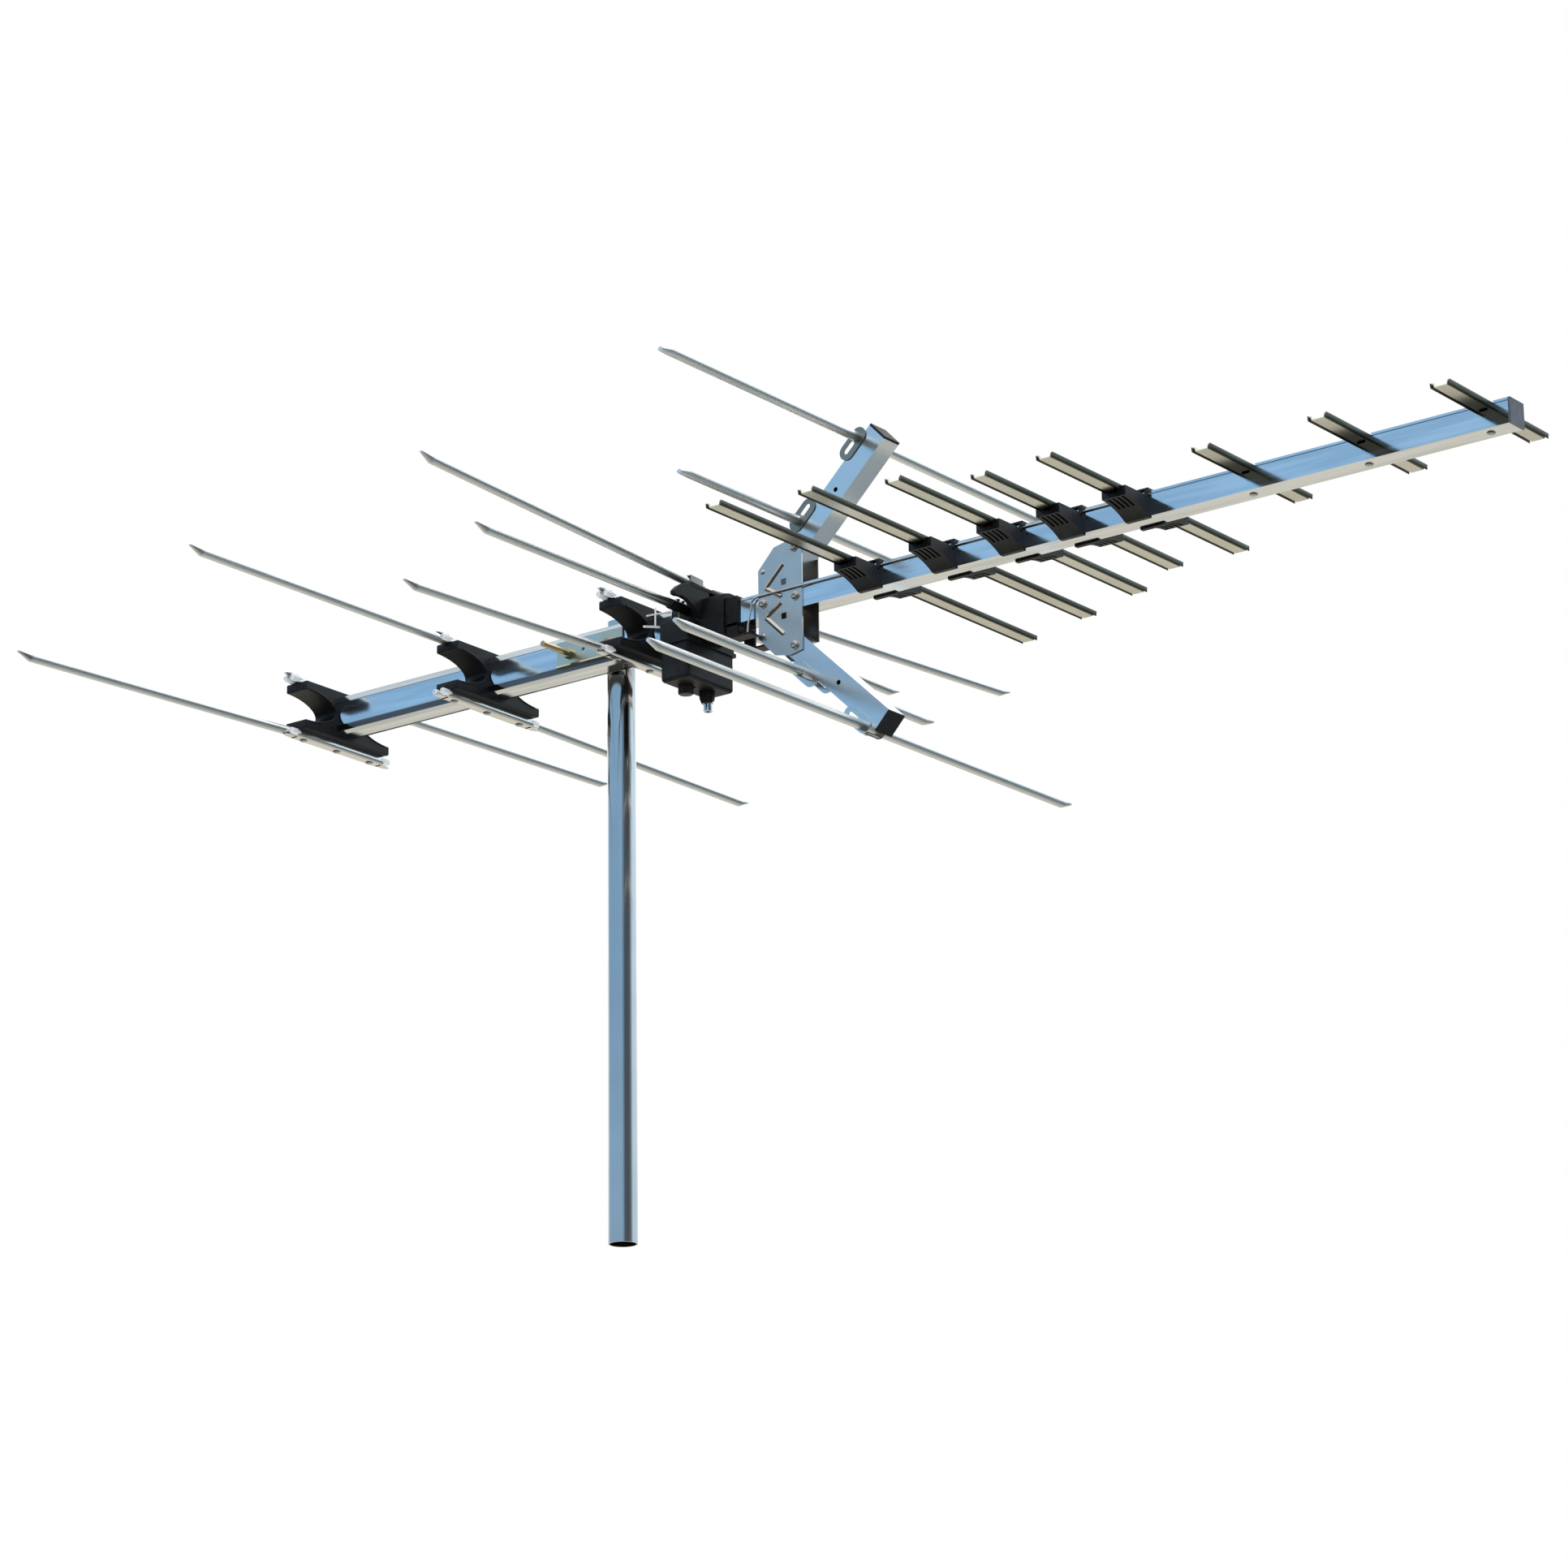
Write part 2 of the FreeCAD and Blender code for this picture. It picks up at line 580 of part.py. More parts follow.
def channel(station):
    """Metal channel on a bracket's upper flat: web outside, tapered tongues and clipping ears."""
    top = channel_level()
    half = CHANNEL_WIDTH / 2
    inner = half - CHANNEL_WALL
    tongue = CHANNEL_REACH - 2 * CHANNEL_WALL
    right = [(half, HORN_REACH), (half * 0.5, tongue), (half * 0.25, CHANNEL_REACH)]
    plan = right + [(-x, y) for x, y in reversed(right)]
    plan = plan + [(x, -y) for x, y in reversed(plan)]
    web = prism([(station + x, y) for x, y in plan], "z", top - CHANNEL_WALL, top)
    side = [(FLANGE_REACH, top), (FLANGE_REACH - CHANNEL_DEPTH, BRACKET_FLAT)]
    side = side + [(-y, z) for y, z in reversed(side)]
    shape = web
    ear = [(inner, FLANGE_REACH - CHANNEL_DEPTH - 2), (half, FLANGE_REACH - CHANNEL_DEPTH - 2),
           (half + 1.4, FLANGE_REACH - 2), (half + 1.0, FLANGE_REACH + 4), (half, FLANGE_REACH + 4),
           (half + 0.4, FLANGE_REACH - 2)]
    for sign in (-1, 1):
        face = station + sign * half
        shape = shape.fuse(prism(side, "x", face - sign * CHANNEL_WALL, face))
        points = [(station + sign * x, y) for x, y in ear]
        curl = prism(points, "z", BRACKET_FLAT + 0.5, top - CHANNEL_WALL - 1)
        for end in both_sides(curl):
            shape = shape.fuse(end)
    shape = shape.removeSplitter()
    for y in (-PIVOT_REACH, 0.0, PIVOT_REACH):
        shape = shape.cut(cylinder(V(station, y, 0), V(station, y, 2 * top), RIVET_SHANK))
    return shape


def build_brackets():
    """Three brackets with their channels and the two passive rods that each carries."""
    for number, station in enumerate(BRACKET_STATIONS, 1):
        export("element_bracket_" + str(number), [element_bracket(station)])
        export("rod_channels_" + str(number), both_levels(channel(station)))
        level = channel_level() - CHANNEL_WALL - VHF_ROD_DIAMETER / 2
        rods = []
        for bracket, side, row, reach, sweep in PASSIVE_RODS:
            if bracket == number:
                height = level if row == "upper" else -level
                rod = swept_rod(station, height, PIVOT_REACH, VHF_ROD_TAIL, reach, side, sweep)
                pivot = SIDES[side] * PIVOT_REACH
                far = 2 * channel_level()
                rods.append(rod.cut(cylinder(V(station, pivot, -far), V(station, pivot, far), RIVET_SHANK)))
        export("passive_rods_" + str(number), rods)


def channel_rivets():
    """A centre rivet and two pivot rivets in each channel."""
    rivets = []
    for station in BRACKET_STATIONS:
        top = channel_level()
        for y in (-PIVOT_REACH, 0.0, PIVOT_REACH):
            inner = REAR_HEIGHT / 2 if y == 0 else HORN_UNDER
            rivets += both_levels(rivet(station, y, top, inner))
    return rivets


def build_driven_bracket():
    """One moulding: horns, rod cradles, cheeks, the collar, the joint's sleeve and the wire trays."""
    horn = list(HORN_OUTLINE) + [HORN_ROOT]
    points = horn + [(-y, z) for y, z in reversed(horn)]
    body = prism(points, "x", HORN_FRONT - HORN_THICK, HORN_FRONT)
    collar_bottom = -REAR_HEIGHT / 2 - COLLAR_WALL
    deck_reach = HORN_OUTLINE[0][0]
    deck = box((DECK_REAR, HORN_FRONT), (-deck_reach, deck_reach), (HORN_TOP - DECK_THICK, HORN_TOP))
    post = box((DECK_REAR, HORN_FRONT), (-REAR_TOP_FLAT / 2, REAR_TOP_FLAT / 2), (0, HORN_TOP))
    cheeks = box((CHEEK_REAR, CHEEK_FRONT), (-CHEEK_REACH, CHEEK_REACH), (collar_bottom, CHEEK_TOP))
    sleeve_side = FRONT_SIDE + 2 * SLEEVE_WALL
    sleeve = square_bar(REAR_END, SLEEVE_FRONT, sleeve_side)
    neck = rear_section(CHEEK_REAR, REAR_END + COLLAR_WALL, COLLAR_WALL)
    bump = box((REAR_END, REAR_END + 13), (-10, 10), (0, sleeve_side / 2 + 2.5))
    body = body.fuse([deck, post, cheeks, sleeve, neck, bump])
    for tray in both_sides(wire_tray()):
        body = body.fuse(tray)
    for cradle in both_sides(rod_cradle()):
        body = body.fuse(cradle)
    body = body.removeSplitter()
    body = body.cut(rear_section(CHEEK_REAR, REAR_END)).cut(square_bar(REAR_END, SLEEVE_FRONT, FRONT_SIDE))
    for hole in driven_bores() + both_sides(phasing_wire()):
        body = body.cut(hole)
    export("driven_bracket", [body])


def rod_cradle():
    """Half-round cradle beside the collar, open above, in which a driven rod lies."""
    x = DRIVEN_ROD_STATION
    z = DRIVEN_ROD_LEVEL
    inner = REAR_WIDTH / 2
    cradle = cylinder(V(x, inner, z), V(x, SOCKET_REACH, z), 2 * SOCKET_RADIUS)
    foot = box((x - SOCKET_RADIUS, x + SOCKET_RADIUS), (inner, CHEEK_REACH), (CHEEK_TOP, z))
    above = box((x - 2 * SOCKET_RADIUS, x + 2 * SOCKET_RADIUS),
                (inner + COLLAR_WALL, 2 * SOCKET_REACH), (z, z + 2 * SOCKET_RADIUS))
    return cradle.fuse(foot).cut(above).removeSplitter()


def wire_tray():
    """Ledge beside and under the sleeve, where a phasing wire starts."""
    inner = FRONT_SIDE / 2 + 0.5
    sleeve_side = FRONT_SIDE / 2 + SLEEVE_WALL
    front = PLATE_CORNERS[0][0] - TRAY_GAP
    ledge = box((REAR_END + 4, front), (inner, TRAY_REACH), (TRAY_LEVEL, TRAY_LEVEL + TRAY_THICK))
    web = box((REAR_END + 4, SLEEVE_FRONT), (inner, sleeve_side), (TRAY_LEVEL, -FRONT_SIDE / 2))
    return ledge.fuse(web).removeSplitter()


def driven_bores():
    """Bores for the driven rods, their feed wires and screws, and the beds of the folded rods."""
    x = DRIVEN_ROD_STATION
    z = DRIVEN_ROD_LEVEL
    bores = [folded_screw_hole(side) for side in SIDES]
    for side in SIDES.values():
        inner = side * DRIVEN_ROD_INNER
        bores.append(cylinder(V(x, inner, z), V(x, side * 2 * SOCKET_REACH, z), VHF_ROD_DIAMETER))
        wire = side * FEED_WIRE_REACH
        bores.append(cylinder(V(x, wire, HOUSING_FLOOR), V(x, wire, z), FEED_WIRE))
    for side in SIDES:
        bed = cylinder(V(0, STRAP_INNER - FOLDED_PIVOT, 0), V(0, FOLDED_PIVOT, 0), VHF_ROD_DIAMETER)
        bores.append(at_folded_rod(bed, side))
    return bores


def at_folded_rod(shape, side):
    """Shape modelled along +Y about a folded rod's pivot, turned and moved to that rod."""
    station, sweep = FOLDED_RODS[side]
    shape = shape.copy()
    shape.rotate(V(0, 0, 0), V(0, 0, 1), -sweep)
    if side == "left":
        shape = shape.mirror(V(0, 0, 0), V(0, 1, 0))
    shape.translate(V(station, SIDES[side] * FOLDED_PIVOT, FOLDED_ROD_LEVEL))
    return shape


def folded_screw_hole(side):
    """Hole for the screw that holds a folded rod under its strap."""
    y = (STRAP_INNER + STRAP_OUTER) / 2 - FOLDED_PIVOT
    low = HORN_TOP - DECK_THICK - FOLDED_ROD_LEVEL
    return at_folded_rod(cylinder(V(0, y, low), V(0, y, VHF_ROD_DIAMETER), STRAP_SCREW), side)


def terminal_reaches():
    """Places of the two terminal screws along each driven rod."""
    return (DRIVEN_ROD_INNER + 4.0, DRIVEN_ROD_INNER + 12.0)


def build_driven_rods():
    """The folded pair on top of the deck, the driven pair in the cradles, straps and screws."""
    tail = FOLDED_PIVOT - STRAP_INNER
    half = VHF_ROD_DIAMETER / 2
    folded = []
    straps = []
    screws = []
    for side in SIDES:
        rod = tube_rod(-tail, FOLDED_ROD_REACH, VHF_NIB, VHF_ROD_DIAMETER, VHF_ROD_WALL)
        folded.append(at_folded_rod(rod, side).cut(folded_screw_hole(side)))
        straps.append(at_folded_rod(folded_strap(), side).cut(folded_screw_hole(side)))
        y = (STRAP_INNER + STRAP_OUTER) / 2 - FOLDED_PIVOT
        top = half + STRAP_WALL
        shank = cylinder(V(0, y, HORN_TOP - DECK_THICK - FOLDED_ROD_LEVEL), V(0, y, top), STRAP_SCREW)
        head = cylinder(V(0, y, top), V(0, y, top + 1.6), 2.4 * STRAP_SCREW)
        screws.append(at_folded_rod(shank.fuse(head).removeSplitter(), side))
    export("folded_rods", folded)
    export("rod_straps", straps)

    x = DRIVEN_ROD_STATION
    z = DRIVEN_ROD_LEVEL
    driven = []
    for side, sign in SIDES.items():
        rod = swept_rod(x, z, DRIVEN_ROD_INNER, 0.0, DRIVEN_ROD_REACH - DRIVEN_ROD_INNER, side, 0.0)
        for reach in terminal_reaches():
            shank = cylinder(V(x, sign * reach, z + half - 2 * VHF_ROD_WALL), V(x, sign * reach, z + half),
                             STRAP_SCREW)
            head = cylinder(V(x, sign * reach, z + half), V(x, sign * reach, z + half + 1.8),
                            2.4 * STRAP_SCREW)
            rod = rod.cut(shank)
            screws.append(shank.fuse(head).removeSplitter())
        driven.append(rod)
    export("driven_rods", driven)
    export("terminal_screws", screws)


def folded_strap():
    """Bent strap over the inner end of a folded rod, its feet flat on the deck."""
    half = VHF_ROD_DIAMETER / 2
    top = half
    outer = half + STRAP_WALL
    foot = outer + 2.0
    base = HORN_TOP - FOLDED_ROD_LEVEL
    right = [(foot, base), (foot, base + STRAP_WALL), (outer, base + STRAP_WALL), (outer, top + STRAP_WALL)]
    inside = [(half, top), (half, base)]
    points = right + [(-x, z) for x, z in reversed(right)]
    points += [(-x, z) for x, z in reversed(inside)] + inside
    return prism(points, "y", STRAP_INNER - FOLDED_PIVOT, STRAP_OUTER - FOLDED_PIVOT)


def build_balun():
    """Housing under the bracket: lid, shell, board on posts, ferrite, wires, knob and socket."""
    lid_top = -REAR_HEIGHT / 2 - COLLAR_WALL
    lid_bottom = lid_top - LID_THICK
    rim = LID_RIM
    lid = box((CHEEK_REAR - rim, CHEEK_FRONT + rim), (-CHEEK_REACH - rim, CHEEK_REACH + rim),
              (lid_bottom, lid_top))
    lid = lid.makeFillet(rim, [edge for edge in lid.Edges if edge.BoundBox.ZLength > LID_THICK / 2])
    board_top = lid_bottom - BOARD_DROP
    x_posts = (CHEEK_REAR + HOUSING_CORNER, CHEEK_FRONT - HOUSING_CORNER)
    for x in x_posts:
        for y in (-CHEEK_REACH + HOUSING_CORNER, CHEEK_REACH - HOUSING_CORNER):
            lid = lid.fuse(cylinder(V(x, y, board_top), V(x, y, lid_bottom), POST_DIAMETER))
    lid = lid.removeSplitter()
    for side in SIDES.values():
        lid = lid.cut(feed_wire(side, board_top))
    export("balun_lid", [lid])

    block = box((CHEEK_REAR, CHEEK_FRONT), (-CHEEK_REACH, CHEEK_REACH), (HOUSING_FLOOR, lid_bottom))
    upright = [edge for edge in block.Edges if edge.BoundBox.ZLength > HOUSING_CORNER]
    block = block.makeFillet(HOUSING_CORNER * 0.6, upright)
    floor = [edge for edge in block.Edges if abs(edge.BoundBox.ZMax - HOUSING_FLOOR) < 0.01]
    block = block.makeFillet(HOUSING_CORNER * 0.55, floor)
    wall = HOUSING_WALL
    hollow = box((CHEEK_REAR + wall, CHEEK_FRONT - wall), (-CHEEK_REACH + wall, CHEEK_REACH - wall),
                 (HOUSING_FLOOR + wall, lid_bottom))
    hollow = hollow.makeFillet(HOUSING_CORNER * 0.4,
                               [edge for edge in hollow.Edges if edge.BoundBox.ZLength > HOUSING_CORNER])
    shell = block.cut(hollow).cut(port_hole())
    knob_hole = cylinder(V(PORT_STATION, KNOB_REACH, HOUSING_FLOOR - 1),
                         V(PORT_STATION, KNOB_REACH, HOUSING_FLOOR + wall), KNOB_DIAMETER / 3)
    export("balun_housing", [shell.cut(knob_hole)])

    margin = wall + 0.5
    board = box((CHEEK_REAR + margin, CHEEK_FRONT - margin), (-CHEEK_REACH + margin, CHEEK_REACH - margin),
                (board_top - BOARD_THICK, board_top))
    board = board.makeFillet(HOUSING_CORNER * 0.4,
                             [edge for edge in board.Edges if edge.BoundBox.ZLength > BOARD_THICK / 2])
    for side in SIDES.values():
        board = board.cut(feed_wire(side, board_top - BOARD_THICK))
    export("balun_board", [board])
    length, width, height = FERRITE
    centre = (CHEEK_REAR + CHEEK_FRONT) / 2
    under = board_top - BOARD_THICK
    ferrite = box((centre - length / 2, centre + length / 2), (-width / 2 - 10, width / 2 - 10),
                  (under - height, under))
    for offset in (-length / 4, length / 4):
        x = centre + offset
        ferrite = ferrite.cut(cylinder(V(x, -width - 10, under - height / 2), V(x, width, under - height / 2), 4.0))
    export("balun_transformer", [ferrite])
    export("feed_wires", [feed_wire(side, under) for side in SIDES.values()])

    stem = cylinder(V(PORT_STATION, KNOB_REACH, HOUSING_FLOOR),
                    V(PORT_STATION, KNOB_REACH, HOUSING_FLOOR + wall + 2), KNOB_DIAMETER / 3)
    knob = cylinder(V(PORT_STATION, KNOB_REACH, HOUSING_FLOOR - KNOB_HEIGHT),
                    V(PORT_STATION, KNOB_REACH, HOUSING_FLOOR), KNOB_DIAMETER)
    low_rim = [edge for edge in knob.Edges if abs(edge.BoundBox.ZMax - HOUSING_FLOOR + KNOB_HEIGHT) < 0.01]
    knob = knob.makeFillet(KNOB_DIAMETER / 10, low_rim)
    export("locking_knob", [knob.fuse(stem).removeSplitter()])

    boot_bottom = HOUSING_FLOOR - BOOT_HEIGHT
    port = V(PORT_STATION, SOCKET_PORT_REACH, 0)
    boot = Part.makeCone(BOOT_DIAMETER / 2 * BOOT_TAPER, BOOT_DIAMETER / 2, BOOT_HEIGHT, port + V(0, 0, boot_bottom))
    export("connector_boot", [boot.cut(port_hole())])
    thread = cylinder(port + V(0, 0, THREAD_TIP), port + V(0, 0, boot_bottom), THREAD_DIAMETER)
    barrel = cylinder(port + V(0, 0, boot_bottom), port + V(0, 0, HOUSING_FLOOR + wall), SOCKET_BODY)
    flange = cylinder(port + V(0, 0, HOUSING_FLOOR + wall), port + V(0, 0, HOUSING_FLOOR + wall + 1.5),
                      SOCKET_BODY * 1.4)
    dielectric = cylinder(port + V(0, 0, THREAD_TIP), port + V(0, 0, THREAD_TIP + 3), THREAD_DIAMETER * 0.55)
    pin_bore = cylinder(port + V(0, 0, THREAD_TIP), port + V(0, 0, THREAD_TIP + 7), PIN_DIAMETER)
    socket = thread.fuse([barrel, flange]).removeSplitter()
    export("coaxial_socket", [socket.cut(dielectric).cut(pin_bore)])


def port_hole():
    """Round hole for the coaxial socket, down through the housing's floor."""
    port = V(PORT_STATION, SOCKET_PORT_REACH, 0)
    return cylinder(port + V(0, 0, 2 * HOUSING_FLOOR), port + V(0, 0, HOUSING_FLOOR + HOUSING_WALL),
                    SOCKET_BODY)


def feed_wire(side, bottom):
    """Wire from the board up to the underside of a driven rod."""
    top = DRIVEN_ROD_LEVEL - VHF_ROD_DIAMETER / 2
    x = DRIVEN_ROD_STATION
    y = side * FEED_WIRE_REACH
    return cylinder(V(x, y, bottom), V(x, y, top), FEED_WIRE)


def phasing_reach():
    """Distance of each phasing wire from the boom's middle, just outside the corner plates."""
    return FRONT_SIDE / 2 + PLATE_THICK + BOLT_HEAD_THICK + PHASING_GAP + PHASING_WIRE / 2


def phasing_wire():
    """Wire on the right side: up from the tray, round a bend and forward over plate and clamps."""
    y = phasing_reach()
    foot = V(PHASING_FOOT, y, TRAY_LEVEL)
    corner = V(PHASING_RISE, y, PHASING_LEVEL)
    end = V(ELEMENTS[-1][0], y, PHASING_LEVEL)
    up = (corner - foot).normalize()
    turn = math.degrees(up.getAngle(V(1, 0, 0)))
    tangent = PHASING_BEND * math.tan(math.radians(turn / 2))
    rise = corner - up * tangent
    run = corner + V(tangent, 0, 0)
    centre = run - V(0, 0, PHASING_BEND)
    section = Part.Face(Part.Wire(Part.makeCircle(PHASING_WIRE / 2, rise, up)))
    bend = section.revolve(centre, V(0, 1, 0), turn)
    return cylinder(foot, rise, PHASING_WIRE).fuse([bend, cylinder(run, end, PHASING_WIRE)])


def plate_bolt_shank(x, z):
    """Shank of a bolt right across the boom and its corner plates."""
    reach = FRONT_SIDE / 2 + PLATE_THICK
    return cylinder(V(x, -reach, z), V(x, reach, z), BOLT_DIAMETER)


def build_corner_plates():
    """Two pressed plates with zigzag ribs, which hold the arms to the boom, and their bolts."""
    right = list(PLATE_CORNERS)
    points = right + [(x, -z) for x, z in reversed(right)]
    inner = FRONT_SIDE / 2
    outer = inner + PLATE_THICK
    plate = prism(points, "y", inner, outer)
    for start, end in zip(PLATE_RIB, PLATE_RIB[1:]):
        for ridge in both_levels(rib(start, end, outer)):
            plate = plate.fuse(ridge)
    x, z = PLATE_DIMPLE_PLACE
    for dimple in both_levels(Part.makeSphere(RIB_WIDTH * 0.8, V(x, outer - RIB_WIDTH * 0.8 + 1.0, z))):
        cap = dimple.common(box((x - RIB_WIDTH, x + RIB_WIDTH), (outer, outer + 2), (-2 * z, 2 * z)))
        plate = plate.fuse(cap)
    plate = plate.removeSplitter()
    x, z = PLATE_HOLE_PLACE
    half = PLATE_SQUARE_HOLE / 2
    for hole in both_levels(box((x - half, x + half), (0, 2 * outer), (z - half, z + half))):
        plate = plate.cut(hole)
    bolts = []
    places = [(x, 0.0) for x in PLATE_BOLT_STATIONS]
    places += [ARM_PIVOT, (ARM_PIVOT[0], -ARM_PIVOT[1])]
    for x, z in places:
        shank = plate_bolt_shank(x, z)
        plate = plate.cut(shank)
        head = cylinder(V(x, -outer - BOLT_HEAD_THICK, z), V(x, -outer, z), BOLT_HEAD)
        nut = hexagon(BOLT_HEAD, (x, z), "y", outer, outer + BOLT_HEAD_THICK)
        bolts.append(shank.fuse([head, nut]).removeSplitter())
    for side, shape in zip(("right", "left"), both_sides(plate)):
        export("corner_plate_" + side, [shape])
    export("plate_bolts", bolts)


def rib(start, end, face):
    """Raised rib of triangular section from start to end on the plate's outer face."""
    length = math.dist(start, end)
    half = RIB_WIDTH / 2
    ridge = prism([(-half, face), (half, face), (0, face + RIB_HEIGHT)], "z", 0, length)
    angle = math.degrees(math.atan2(end[0] - start[0], end[1] - start[1]))
    ridge.rotate(V(0, 0, 0), V(0, 1, 0), angle)
    ridge.translate(V(start[0], 0, start[1]))
    return ridge


def on_arm(shape):
    """Shape modelled along +X from the pivot with +Z behind it, turned onto the upper arm."""
    shape = shape.copy()
    shape.rotate(V(0, 0, 0), V(0, 1, 0), -ARM_ANGLE)
    shape.translate(V(ARM_PIVOT[0], 0, ARM_PIVOT[1]))
    return shape


def build_arms():
    """Upper and lower square arms, each with a cap and two reflector rods in their clips."""
    arm = square_bar(-ARM_TAIL, ARM_REACH, ARM_SIDE)
    arm = arm.cut(square_bar(-ARM_TAIL, ARM_REACH, ARM_SIDE - 2 * ARM_WALL))
    arm = arm.cut(plate_bolt_shank(0.0, 0.0))
    half = ARM_SIDE / 2
    arm = arm.cut(cylinder(V(ARM_HOLE_REACH, -half - 1, 0), V(ARM_HOLE_REACH, 0, 0), ARM_HOLE))
    clips = []
    for place, (along, reach) in REFLECTOR_RODS.items():
        arm = arm.cut(clip_rivet_shank(along))
        rod = reflector_rod(reach)
        rod.translate(V(along, 0, half + REFLECTOR_DIAMETER / 2))
        rod = rod.cut(clip_rivet_shank(along))
        for level, shape in zip(("upper", "lower"), both_levels(on_arm(rod))):
            export("reflector_rod_" + level + "_" + place, [shape])
        clips += both_levels(on_arm(rod_clip(along)))
    for level, shape in zip(("upper", "lower"), both_levels(on_arm(arm))):
        export(level + "_arm", [shape])
    export("arm_caps", both_levels(on_arm(end_cap(ARM_REACH, ARM_SIDE, ARM_WALL))))
    export("rod_clips", clips)


def reflector_rod(reach):
    """Round tube across the arm, closed by a slanted nib at each end."""
    bar = cylinder(V(0, -reach, 0), V(0, reach, 0), REFLECTOR_DIAMETER)
    hollow = reach - REFLECTOR_NIB - REFLECTOR_WALL
    bar = bar.cut(cylinder(V(0, -hollow, 0), V(0, hollow, 0), REFLECTOR_DIAMETER - 2 * REFLECTOR_WALL))
    for end in both_sides(nib_cut(reach, REFLECTOR_NIB, REFLECTOR_DIAMETER)):
        bar = bar.cut(end)
    return bar


def rod_clip(along):
    """Bent clip over a reflector rod: two ears beside the arm and a slotted back strip."""
    half = ARM_SIDE / 2
    top = half + REFLECTOR_DIAMETER
    length = CLIP_LENGTH / 2
    wall = CLIP_WALL
    outside = box((along - length, along + length), (-half - wall, half + wall), (half / 3, top + wall))
    inside = box((along - length, along + length), (-half, half), (half / 3, top))
    clip = outside.cut(inside)
    clip = clip.cut(cylinder(V(along, -2 * half, half + REFLECTOR_DIAMETER / 2),
                             V(along, 2 * half, half + REFLECTOR_DIAMETER / 2), REFLECTOR_DIAMETER))
    for sign in (-1, 1):
        start = along + sign * (length - 3 * wall)
        slot = box((start - wall, start + wall), (-CLIP_SLOT / 2, CLIP_SLOT / 2), (top - 1, top + 2 * wall))
        clip = clip.cut(slot)
    return clip.cut(clip_rivet_shank(along))


def clip_rivet_shank(along):
    """Hole for the rivet through a clip, its rod and the arm's rear wall."""
    half = ARM_SIDE / 2
    return cylinder(V(along, 0, half - ARM_WALL), V(along, 0, half + 2 * REFLECTOR_DIAMETER), RIVET_SHANK)


def clip_rivets():
    """The rivets of the four clips."""
    rivets = []
    half = ARM_SIDE / 2
    for along, reach in REFLECTOR_RODS.values():
        head = half + REFLECTOR_DIAMETER + CLIP_WALL
        rivets += both_levels(on_arm(rivet(along, 0, head, half - ARM_WALL)))
    return rivets


build_mast()
build_mast_clamp()
build_rear_boom()
build_front_boom()
build_directors()
build_elements()
build_brackets()
build_driven_bracket()
build_driven_rods()
build_balun()
export("phasing_wires", both_sides(phasing_wire()))
build_corner_plates()
build_arms()
export("rivets", channel_rivets() + clip_rivets() + director_rivets())
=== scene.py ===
import math

import bpy
import numpy as np
from mathutils import Matrix, Vector


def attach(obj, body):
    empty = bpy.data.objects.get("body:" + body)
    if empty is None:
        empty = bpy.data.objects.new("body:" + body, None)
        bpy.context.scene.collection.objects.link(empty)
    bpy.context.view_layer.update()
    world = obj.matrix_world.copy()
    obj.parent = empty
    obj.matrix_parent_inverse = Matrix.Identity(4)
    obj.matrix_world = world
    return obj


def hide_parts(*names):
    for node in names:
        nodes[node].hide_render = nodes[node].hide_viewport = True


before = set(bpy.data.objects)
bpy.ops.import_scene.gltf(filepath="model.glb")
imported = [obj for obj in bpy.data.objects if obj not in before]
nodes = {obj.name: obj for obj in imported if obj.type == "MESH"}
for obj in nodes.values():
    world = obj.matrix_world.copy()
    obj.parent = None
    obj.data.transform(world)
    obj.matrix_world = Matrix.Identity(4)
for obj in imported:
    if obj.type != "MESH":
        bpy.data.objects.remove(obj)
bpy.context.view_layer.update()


# The mast is a thin steel tube, polished and plated, cut off square at its foot.
# The drawing die leaves faint lines along it, and the plating has slow, cloudy changes of tint.
class Field:
    """A value that changes over a surface. Arithmetic on it adds Math nodes to its tree."""

    def __init__(self, maker, socket):
        self.maker = maker
        self.socket = socket

    def __add__(self, other):
        return self.maker.maths("ADD", self, other)

    def __radd__(self, other):
        return self.maker.maths("ADD", other, self)

    def __sub__(self, other):
        return self.maker.maths("SUBTRACT", self, other)

    def __rsub__(self, other):
        return self.maker.maths("SUBTRACT", other, self)

    def __mul__(self, other):
        return self.maker.maths("MULTIPLY", self, other)


